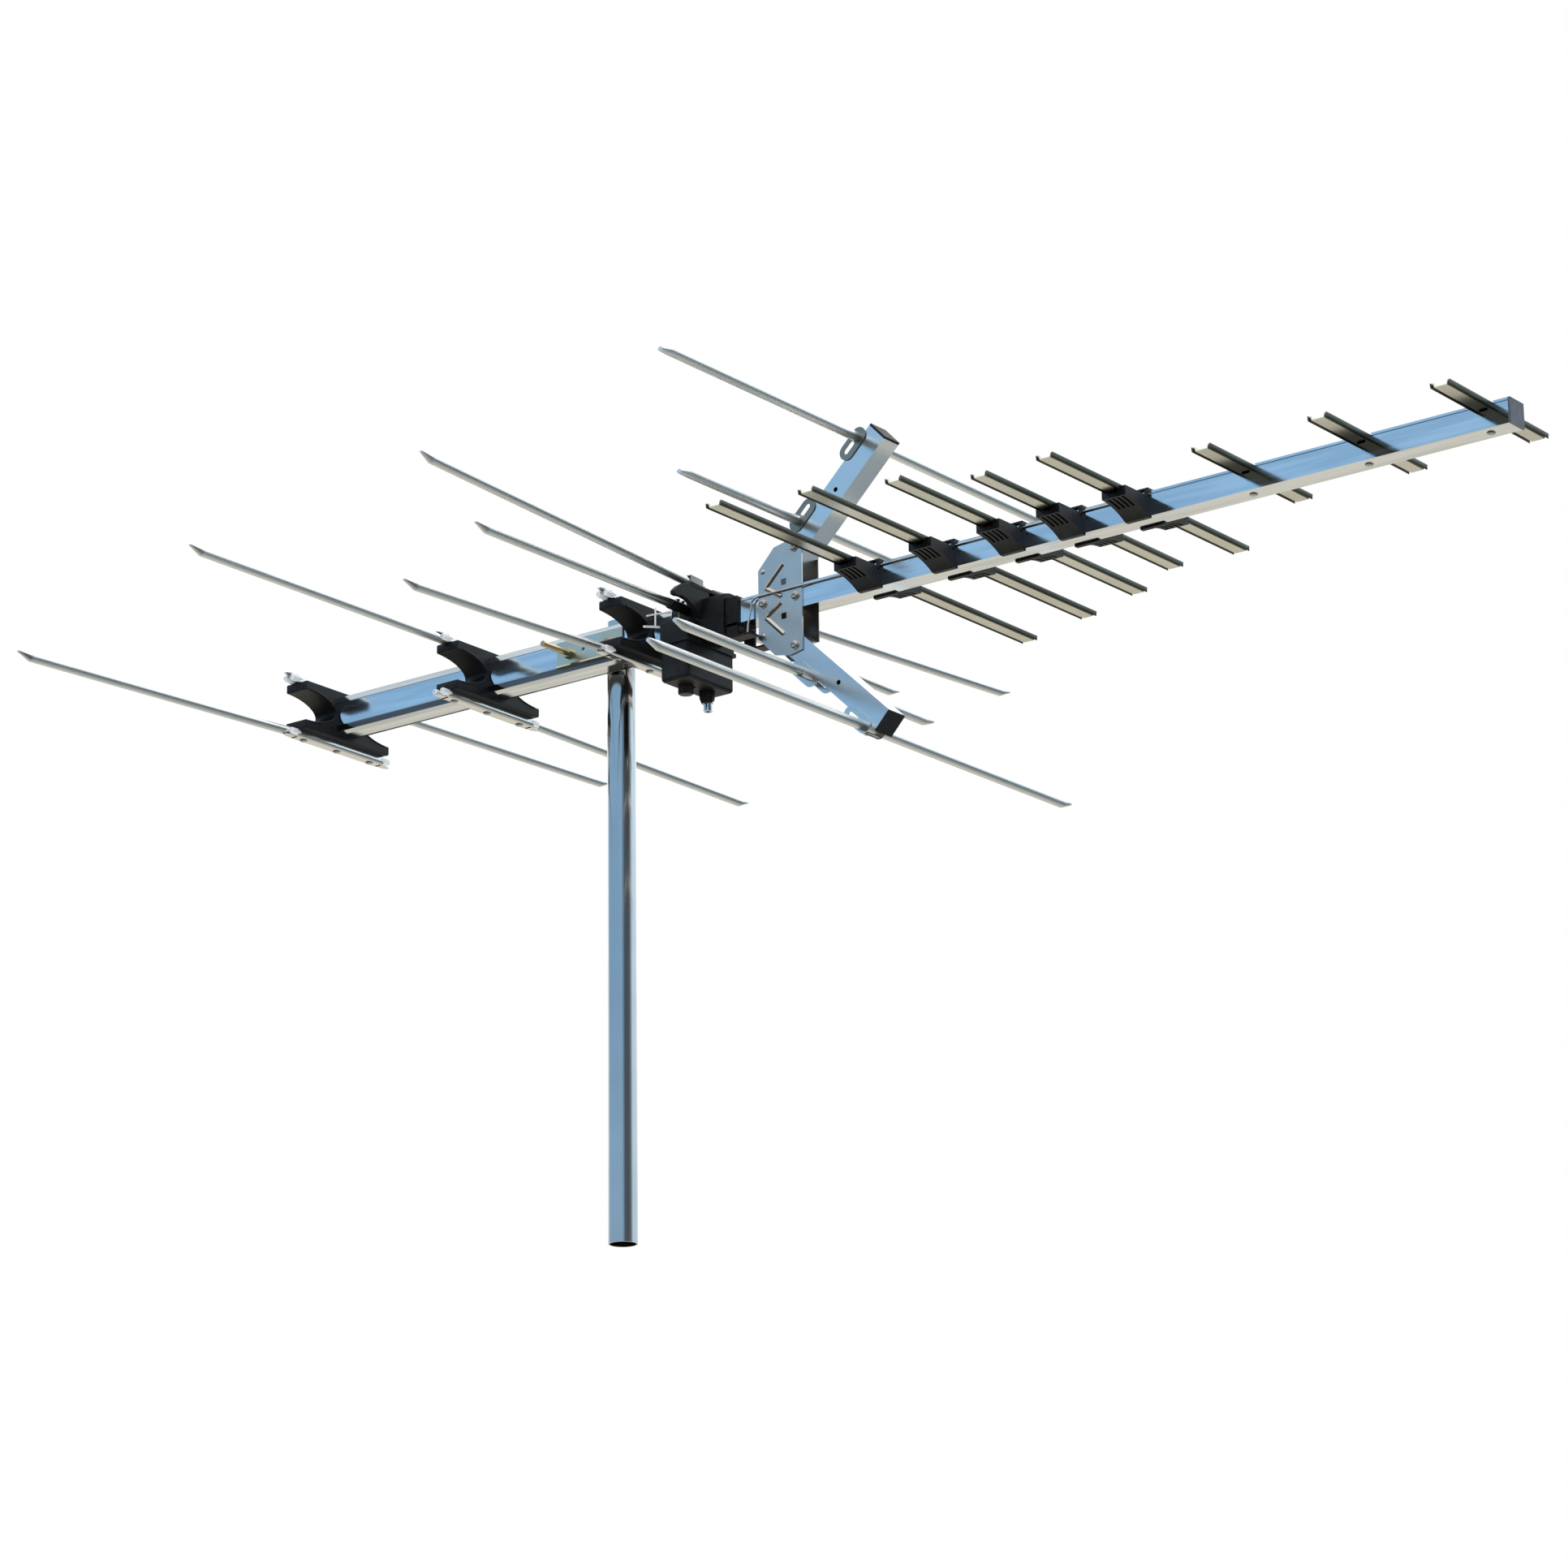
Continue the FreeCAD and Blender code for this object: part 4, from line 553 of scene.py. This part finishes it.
strap_finish = drawn_metal("bright strap steel", (0.82, 0.82, 0.80), (0.70, 0.71, 0.70), 0, 0.18, 0.1)
dress(strap_finish, "terminal_screws")
clip_finish = drawn_metal("dull clip steel", (0.34, 0.34, 0.30), (0.24, 0.24, 0.22), 0, 0.34, 0.1)
dress(clip_finish, "rod_straps")


# The balun hangs under the driven bracket: a lid, a deep shell, a board on posts,
# a ferrite block, two feed wires, a locking knob, and a rubber boot round the coaxial socket.
def circuit_board(name):
    """Green solder mask over glass cloth, whose weave shows through as a fine check."""
    maker = new_finish(name, 0.0, 0.35)
    warp = maker.noise(1400.0, (1.0, 0.2, 1.0), detail=1.0)
    weft = maker.noise(1400.0, (0.2, 1.0, 1.0), detail=1.0)
    mask = maker.step(warp + weft, 0.85, 1.15)
    green = maker.blend(mask, (0.02, 0.10, 0.05, 1.0), (0.04, 0.17, 0.08, 1.0))
    maker.fill(maker.shader["Base Color"], green)
    maker.fill(maker.shader["Roughness"], 0.28 + mask * 0.14)
    return maker.material


dress(black_plastic, "balun_housing", "balun_lid")
dress(circuit_board("green board"), "balun_board")
dress(moulded_plastic("grey ferrite", (0.035, 0.034, 0.036), (0.07, 0.068, 0.07), 0.6, 1500.0, 0.3),
      "balun_transformer")
dress(drawn_metal("tinned copper wire", (0.80, 0.42, 0.26), (0.66, 0.33, 0.20), 2, 0.25, 0.1), "feed_wires")


def turned_rings(centre, profile, lobes=0, depth=0.0, spokes=48):
    """Rings round an upright axis: radius * (1 - depth * (0.5 - 0.5 cos(lobes a))) at each profile height."""
    angle = np.linspace(0.0, 2.0 * math.pi, spokes, endpoint=False)
    flute = 1.0 - depth * (0.5 - 0.5 * np.cos(lobes * angle))
    rings = [np.stack([centre[0] + radius * flute * np.cos(angle), centre[1] + radius * flute * np.sin(angle),
                       height + 0.0 * angle], axis=-1) for radius, height in profile]
    return np.array(rings)


KNOB_PLACE = (-15.0, -12.5)
KNOB_PROFILE = ((8.1, -64.0), (8.1, -72.6), (7.6, -73.8), (6.6, -74.4), (2.0, -74.2))
BOOT_PLACE = (-11.5, 17.5)
BOOT_PROFILE = ((8.6, -64.0), (8.6, -69.0), (8.0, -73.0), (6.4, -76.8), (5.6, -77.2), (5.5, -74.0))
knob = turned_rings(KNOB_PLACE, KNOB_PROFILE, lobes=14, depth=0.07, spokes=112)
knob_plastic = moulded_plastic("knob plastic", (0.008, 0.008, 0.009), (0.020, 0.020, 0.022), 0.36,
                               1300.0, 0.1)
closed_piece("fluted_knob", [knob], knob_plastic, ["locking_knob"])
boot = turned_rings(BOOT_PLACE, BOOT_PROFILE, lobes=6, depth=0.16, spokes=96)
boot_rubber = moulded_plastic("boot rubber", (0.007, 0.007, 0.008), (0.016, 0.016, 0.018), 0.55, 1600.0, 0.2)
closed_piece("petalled_boot", [boot], boot_rubber, ["connector_boot"])
dress(drawn_metal("bright socket nickel", (0.82, 0.82, 0.80), (0.70, 0.70, 0.68), 2, 0.12, 0.1),
      "coaxial_socket")


# The phasing wires are hard aluminium wire, bent up from the trays and run along the front boom.
# Short terminal wires lie behind the driven bracket, pale with a painted highlight: the ears' white finish.
PHASING_RISE = ((70.0, 20.0, -31.5), (70.4, 19.0, -20.0), (71.0, 16.4, -8.0), (72.4, 15.2, 4.2),
                (74.0, 15.2, 6.6), (77.0, 15.2, 8.2), (82.0, 15.2, 8.8), (134.0, 15.2, 8.8))
PHASING_RUN = (150.0, 552.0)
PHASING_REACH = 13.7
PHASING_LEVEL = 9.0
PHASING_RADIUS = 1.05
TERMINAL_WIRES = ((0.8, ((-35.0, -50.5, 4.0), (-31.0, -36.0, 9.5), (-26.0, -22.0, 13.5))),
                  (0.9, ((-34.0, -37.4, 16.0), (-34.0, -37.5, 5.0), (-34.0, -37.6, -4.5))),
                  (1.1, ((-36.0, -54.0, -8.0), (-32.0, -42.0, -6.0), (-26.0, -29.0, -5.0))))


def wire_rings(path, radius, spokes=10):
    """Rings round a path of points, each square to the path there."""
    path = np.array(path)
    along = np.gradient(path, axis=0)
    along /= np.linalg.norm(along, axis=1)[:, None]
    first = np.cross(along, (0.23, 0.31, 0.92))
    first /= np.linalg.norm(first, axis=1)[:, None]
    second = np.cross(along, first)
    angle = np.linspace(0.0, 2.0 * math.pi, spokes, endpoint=False)[None, :, None]
    return path[:, None] + radius * (first[:, None] * np.cos(angle) + second[:, None] * np.sin(angle))


wire_finish = drawn_metal("grey phasing wire", (0.74, 0.74, 0.71), (0.56, 0.56, 0.54), 0, 0.26, 0.2)
wires = []
for side in (-1.0, 1.0):
    path = [(x, side * y, z) for x, y, z in PHASING_RISE]
    path += [(x, side * PHASING_REACH, PHASING_LEVEL) for x in np.linspace(*PHASING_RUN, 18)]
    wires.append(wire_rings(path, PHASING_RADIUS))
closed_piece("bent_phasing_wires", wires, wire_finish, ["phasing_wires"])
# The terminal wires share the ears' painted highlight finish.
terminals = [wire_rings(path, radius) for radius, path in TERMINAL_WIRES]
closed_piece("terminal_wires", terminals, painted_highlight_finish)


# The corner plates are pressed from zinc-coated sheet, whose crystals still show as a dull spangle.
# The far plate is seen in shade, and its darker finish is painted shade. Bolts go through both plates and the
# boom, and have domed heads on the near plate.
def spangled_sheet(name, colour, shade, roughness):
    """Zinc-coated sheet: flat crystals a few millimetres wide, each a little lighter or darker."""
    maker = new_finish(name, 1.0, roughness)
    place = maker.add("ShaderNodeTexCoord", {}, {}, output=3)
    crystals = maker.add("ShaderNodeTexVoronoi", {}, {"Vector": place, "Scale": 210.0}, output=1)
    level = maker.add("ShaderNodeSeparateColor", {}, {"Color": crystals})
    clouds = maker.noise(30.0, detail=4.0)
    grain = maker.noise(800.0, (1.0, 1.0, 0.06), detail=3.0)
    mask = maker.step(level * 0.12 + clouds * 0.88, 0.25, 0.75)
    maker.fill(maker.shader["Base Color"], maker.blend(mask, colour + (1.0,), shade + (1.0,)))
    maker.fill(maker.shader["Roughness"], roughness + (level - 0.5) * 0.03 + (grain - 0.5) * 0.06)
    bump = {"Height": grain + level * 0.1, "Strength": 0.10, "Distance": 0.00004}
    maker.fill(maker.shader["Normal"], maker.add("ShaderNodeBump", {}, bump))
    return maker.material


plate_finish = spangled_sheet("spangled plate zinc", (0.72, 0.655, 0.60), (0.64, 0.59, 0.55), 0.22)
dress(plate_finish, "corner_plate_left")
# The far plate's darker copy of the zinc finish is painted shade.
painted_shade_plate_finish = spangled_sheet("plate zinc with painted shade", (0.20, 0.19, 0.18), (0.14, 0.135, 0.13), 0.30)
dress(painted_shade_plate_finish, "corner_plate_right")
bolt_finish = drawn_metal("bolt steel", (0.78, 0.68, 0.58), (0.60, 0.52, 0.44), 1, 0.22, 0.2)
dress(bolt_finish, "plate_bolts")
PLATE_FACE = -13.7
HEAD_PROFILE = ((4.9, -0.4), (4.9, 1.0), (4.1, 1.1), (4.0, 2.1), (3.4, 2.7), (2.4, 3.0), (1.8, 2.3),
                (0.7, 2.2))
HEAD_PLACES = ((86.0, 0.0), (126.7, 0.0), ARM_ROOT, (ARM_ROOT[0], -ARM_ROOT[1]))


def domed_head(x, z, face):
    """Domed bolt head with a washer under it and a round dent in its crown, on a plate's outer face."""
    angle = np.linspace(0.0, 2.0 * math.pi, 28, endpoint=False)
    rings = [(x + radius * np.cos(angle), face - rise + 0.0 * angle, z + radius * np.sin(angle))
             for radius, rise in HEAD_PROFILE]
    return np.array([np.stack(ring, axis=-1) for ring in rings])


heads = [domed_head(x, z, PLATE_FACE) for x, z in HEAD_PLACES]
closed_piece("domed_plate_bolts", heads, bolt_finish)


# The arms are square tubes of the booms' metal. Clips hold the reflector rods behind them: an ear with
# a slot on each side of the arm, and a narrow band across the back.
arm_finish = drawn_metal("polished arm metal", (0.82, 0.84, 0.86), (0.72, 0.75, 0.78), 0, 0.20, 0.1)
dress(arm_finish, "upper_arm", "lower_arm")
ARM_HALF = 12.5
CLIP_WALL = 1.2
CLIP_PLAY = 0.05
CLIP_BAND = ((-5.0, 23.0), (5.0, 23.0), (5.0, 23.9), (-5.0, 23.9))
CLIP_BAND_HALF = 13.6


def arm_place(rings, along, level):
    """Rings given along the arm, across the boom and out behind the arm, moved to their place on it."""
    length = along + rings[..., 0]
    out = rings[..., 2]
    x = ARM_ROOT[0] + length * math.cos(ARM_RISE) - out * math.sin(ARM_RISE)
    z = ARM_ROOT[1] + length * math.sin(ARM_RISE) + out * math.cos(ARM_RISE)
    return np.stack([x, rings[..., 1], level * z], axis=-1)


def obround(centre, half_length, radius):
    """Outline of a slot: two half circles joined by straight lines along the first coordinate."""
    first = arc((centre[0] + half_length, centre[1]), (radius, radius), -90.0, 90.0, 12)
    second = arc((centre[0] - half_length, centre[1]), (radius, radius), 90.0, 270.0, 12)
    return np.concatenate([first, second])


clips = {1.0: [], -1.0: []}
for along, toward in ((INNER_ROD, 1.0), (OUTER_ROD, -1.0)):
    outside = obround((toward * 7.5, 15.6), 10.5, 8.6)
    slot = obround((toward * 13.0, 16.2), 5.0, 2.7)
    for level in (1.0, -1.0):
        for side in (-1.0, 1.0):
            inner_y = side * (ARM_HALF + CLIP_PLAY)
            outer_y = side * (ARM_HALF + CLIP_WALL)
            ear = np.concatenate([spread(outside, 1, (inner_y, outer_y)), spread(slot, 1, (outer_y, inner_y)),
                                  spread(outside, 1, (inner_y,))])
            clips[level].append(arm_place(ear, along, level))
        band = spread(CLIP_BAND, 1, (-CLIP_BAND_HALF, CLIP_BAND_HALF))
        clips[level].append(arm_place(band, along, level))
closed_piece("slotted_upper_clips", clips[1.0], clip_finish, ["rod_clips"])
closed_piece("slotted_lower_clips", clips[-1.0], strap_finish, ["rod_clips"])


# The short elements are roll-formed troughs. Five pairs sit on black clamps over the front boom,
# and three directors lie in notches of the boom itself and are riveted. Each long edge is folded to a hem.
trough_finish = drawn_metal("rolled trough aluminium", (0.72, 0.71, 0.63), (0.62, 0.61, 0.53), 1, 0.22, 0.2)
TROUGH_REACH = 9.35
TROUGH_HALF = ((0.0, -4.4), (5.9, -4.4), (7.0, -0.9), (8.2, -0.9), (8.2, 0.0), (6.3, 0.0), (5.2, -3.5),
               (0.0, -3.5))
HEM = ((8.0, -0.9), (8.4, -4.5), (8.7, -5.0), (9.0, -4.5), (TROUGH_REACH, 0.0), (8.0, 0.0))
ELEMENT_TOP = 7.9
DIRECTOR_TOP = 10.6
DIRECTOR_SCALE = 10.4 / TROUGH_REACH
TROUGH_BITE = 2.6


def trough_section():
    """The trough's section between its hems, from the right half of its outline."""
    half = np.array(TROUGH_HALF)
    lower = half[:4]
    upper = half[4:]
    return np.concatenate([lower[1:], upper, upper[::-1][1:] * (-1.0, 1.0), lower[:0:-1] * (-1.0, 1.0)])


def trough_shell(section, station, top, scale, ends):
    """A section rolled across the boom. Each free end is bitten back by bite * (1 - (x / reach)^2)."""
    bite = TROUGH_BITE * (1.0 - (section[:, 0] / TROUGH_REACH) ** 2)
    rings = []
    for y, share in ends:
        ring = np.insert(section * (scale, 1.0) + (station, top), 1, y, axis=1)
        ring[:, 1] -= math.copysign(1.0, y) * bite * share
        rings.append(ring)
    return np.array(rings)


trough = trough_section()
hem_sections = [np.array(HEM) * (side, 1.0) for side in (-1.0, 1.0)]
hems = []
ELEMENTS = ((219.0, 263.5), (310.0, 238.0), (391.0, 209.0), (461.0, 168.0), (537.0, 170.0))
ELEMENT_INNER = 18.5
DIRECTOR_STATIONS = (658.5, 785.0, 914.5)
DIRECTOR_REACH = 90.0
for number, (station, reach) in enumerate(ELEMENTS, 1):
    halves = []
    for side in (-1.0, 1.0):
        ends = ((side * ELEMENT_INNER, 0.0), (side * reach, 1.0))
        halves.append(trough_shell(trough, station, ELEMENT_TOP, 1.0, ends))
        hems += [trough_shell(section, station, ELEMENT_TOP, 1.0, ends) for section in hem_sections]
    closed_piece("hemmed_element_" + str(number), halves, trough_finish,
                 ["uhf_element_" + str(number)], crease=20.0)
    dress(black_plastic, "uhf_clamp_" + str(number))
for number, station in enumerate(DIRECTOR_STATIONS, 1):
    ends = ((-DIRECTOR_REACH, 1.0), (DIRECTOR_REACH, 1.0))
    whole = trough_shell(trough, station, DIRECTOR_TOP, DIRECTOR_SCALE, ends)
    hems += [trough_shell(section, station, DIRECTOR_TOP, DIRECTOR_SCALE, ends) for section in hem_sections]
    closed_piece("hemmed_director_" + str(number), [whole], trough_finish,
                 ["director_" + str(number)], crease=20.0)
# The hems are near black: painted shade along each trough's folded edges.
painted_shade_hem_finish = drawn_metal("hem aluminium with painted shade", (0.20, 0.20, 0.16), (0.13, 0.13, 0.10), 1, 0.30, 0.1)
closed_piece("rolled_hems", hems, painted_shade_hem_finish)
dress(drawn_metal("rivet aluminium", (0.66, 0.66, 0.64), (0.52, 0.52, 0.50), 2, 0.30, 0.1), "rivets")


# The antenna is looked at from below and in front, as on a roof, so the pale floor lies far under it.
# The studio is white to the camera. In reflections one side is blue over a dark ground, the other is white
# over a pale ground, and one dark flag stands before the polished tubes.
FLAG_BEARING = math.radians(-10.0)


def build_studio():
    """World light: white to the camera, and soft bands of sky, horizon and ground in reflections."""
    world = bpy.data.worlds.new("soft studio")
    bpy.context.scene.world = world
    world.use_nodes = True
    world.node_tree.nodes.clear()
    maker = ShaderMaker(world.node_tree)
    way = maker.add("ShaderNodeTexCoord", {}, {}, output=0)
    forward = maker.add("ShaderNodeSeparateXYZ", {}, {"Vector": way}, output=0)
    across = maker.add("ShaderNodeSeparateXYZ", {}, {"Vector": way}, output=1)
    height = maker.add("ShaderNodeSeparateXYZ", {}, {"Vector": way}, output=2)
    level = height * 0.5 + 0.5
    stops = [(0.0, (0.12, 0.12, 0.10, 1.0)), (0.30, (0.06, 0.06, 0.05, 1.0)),
             (0.475, (0.05, 0.05, 0.045, 1.0)), (0.53, (0.09, 0.095, 0.085, 1.0)),
             (0.56, (0.42, 0.60, 0.78, 1.0)), (0.63, (0.27, 0.50, 0.76, 1.0)),
             (0.70, (0.32, 0.54, 0.78, 1.0)), (0.75, (0.66, 0.72, 0.74, 1.0)),
             (0.82, (0.86, 0.90, 0.92, 1.0)), (1.0, (1.0, 1.0, 1.0, 1.0))]
    near_side = maker.add("ShaderNodeValToRGB", {"stops": stops}, {"Fac": level})
    stops = [(0.0, (0.50, 0.48, 0.42, 1.0)), (0.40, (0.70, 0.67, 0.58, 1.0)),
             (0.465, (0.50, 0.48, 0.41, 1.0)), (0.49, (0.07, 0.07, 0.055, 1.0)),
             (0.53, (0.10, 0.105, 0.10, 1.0)), (0.58, (0.58, 0.64, 0.68, 1.0)),
             (0.63, (0.90, 0.94, 0.96, 1.0)), (0.72, (1.0, 1.0, 1.0, 1.0)), (1.0, (1.0, 1.0, 1.0, 1.0))]
    far_side = maker.add("ShaderNodeValToRGB", {"stops": stops}, {"Fac": level})
    low = maker.step(height, -0.52, -0.30)
    front_ground = maker.blend(low, (0.30, 0.35, 0.38, 1.0), (0.085, 0.085, 0.07, 1.0))
    in_front = maker.step(forward, -0.15, 0.20)
    far_side = maker.blend(in_front * (1.0 - maker.step(height, 0.0, 0.10)) * 0.95, far_side, front_ground)
    pale_blue = in_front * maker.step(height, 0.10, 0.20) * (1.0 - maker.step(height, 0.34, 0.50))
    far_side = maker.blend(pale_blue * 0.8, far_side, (0.50, 0.72, 0.90, 1.0))
    bright = 1.0 + maker.step(height, 0.10, 0.30) * 0.35
    far_side = maker.add("ShaderNodeVectorMath", {"operation": "SCALE"}, {0: far_side, "Scale": bright})
    bands = maker.blend(maker.step(across, -0.12, 0.22), near_side, far_side)
    flat = maker.add("ShaderNodeVectorMath", {"operation": "MULTIPLY"}, {0: way, 1: (1.0, 1.0, 0.0)})
    flat = maker.add("ShaderNodeVectorMath", {"operation": "NORMALIZE"}, {0: flat})
    toward = (math.cos(FLAG_BEARING), math.sin(FLAG_BEARING), 0.0)
    facing = maker.add("ShaderNodeVectorMath", {"operation": "DOT_PRODUCT"}, {0: flat, 1: toward}, output=1)
    flag = maker.step(facing, 0.70, 0.96) * (1.0 - maker.step(height, 0.42, 0.55))
    bands = maker.blend(flag * 0.88, bands, (0.06, 0.065, 0.07, 1.0))
    to_camera = maker.add("ShaderNodeLightPath", {}, {}, output=0)
    seen = maker.blend(to_camera, bands, (1.0, 1.0, 1.0, 1.0))
    background = maker.add("ShaderNodeBackground", {}, {"Color": seen, "Strength": 1.0})
    out = world.node_tree.nodes.new("ShaderNodeOutputWorld")
    world.node_tree.links.new(background.socket, out.inputs["Surface"])


build_studio()
FLOOR_LEVEL = -2.0
FLOOR_HALF = 7.0
floor_mesh = bpy.data.meshes.new("floor")
floor_corners = [(x, y, FLOOR_LEVEL) for x, y in ((-1, -1), (1, -1), (1, 1), (-1, 1))]
floor_corners = [(x * FLOOR_HALF, y * FLOOR_HALF, z) for x, y, z in floor_corners]
floor_mesh.from_pydata(floor_corners, [], [(0, 1, 2, 3)])
floor = bpy.data.objects.new("floor", floor_mesh)
floor.visible_glossy = False
bpy.context.scene.collection.objects.link(floor)
floor_maker = new_finish("pale floor", 0.0, 0.8)
floor_tone = floor_maker.step(floor_maker.noise(3.0), 0.3, 0.7)
floor_maker.fill(floor_maker.shader["Base Color"],
                 floor_maker.blend(floor_tone, (0.84, 0.84, 0.82, 1.0), (0.88, 0.88, 0.87, 1.0)))
floor_mesh.materials.append(floor_maker.material)


def soft_light(name, place, aim, size, power, colour):
    """Square area light at a place, turned to face its aim."""
    data = bpy.data.lights.new(name, "AREA")
    data.size = size
    data.energy = power
    data.color = colour
    light = bpy.data.objects.new(name, data)
    light.location = place
    light.visible_glossy = False
    light.rotation_euler = (Vector(aim) - Vector(place)).to_track_quat("-Z", "Y").to_euler()
    bpy.context.scene.collection.objects.link(light)


soft_light("key light", (-1.5, -3.5, 4.0), (0.3, 0.0, 0.6), 2.5, 120.0, (1.0, 0.98, 0.95))
soft_light("fill light", (3.0, 3.0, 3.0), (0.3, 0.0, 0.6), 3.0, 30.0, (0.92, 0.96, 1.0))


# The camera stands about 5.2 metres away, a metre below the mast's foot, looking up.
# PICTURE_DROP is how far, in pixels, the whole picture is moved down.
CAMERA_PLACE = Vector((3.1898, -3.9105, -1.0587))
CAMERA_RIGHT = Vector((0.79310547, 0.60896659, -0.01197532))
CAMERA_UP = Vector((0.18654517, -0.2241423, 0.956536))
IMAGE_SIDE = 1932.0
FOCAL_PIXELS = 6315.4
PICTURE_DROP = 2.5
camera_data = bpy.data.cameras.new("camera")
camera_data.sensor_width = 36.0
camera_data.lens = camera_data.sensor_width * FOCAL_PIXELS / IMAGE_SIDE
camera_data.shift_y = PICTURE_DROP / IMAGE_SIDE
camera = bpy.data.objects.new("camera", camera_data)
bpy.context.scene.collection.objects.link(camera)
camera_back = CAMERA_RIGHT.cross(CAMERA_UP).normalized()
camera_up = camera_back.cross(CAMERA_RIGHT).normalized()
turn = Matrix((CAMERA_RIGHT.normalized(), camera_up, camera_back)).transposed()
camera.matrix_world = Matrix.Translation(CAMERA_PLACE) @ turn.to_4x4()
bpy.context.scene.camera = camera
bpy.context.scene.view_settings.view_transform = "Standard"
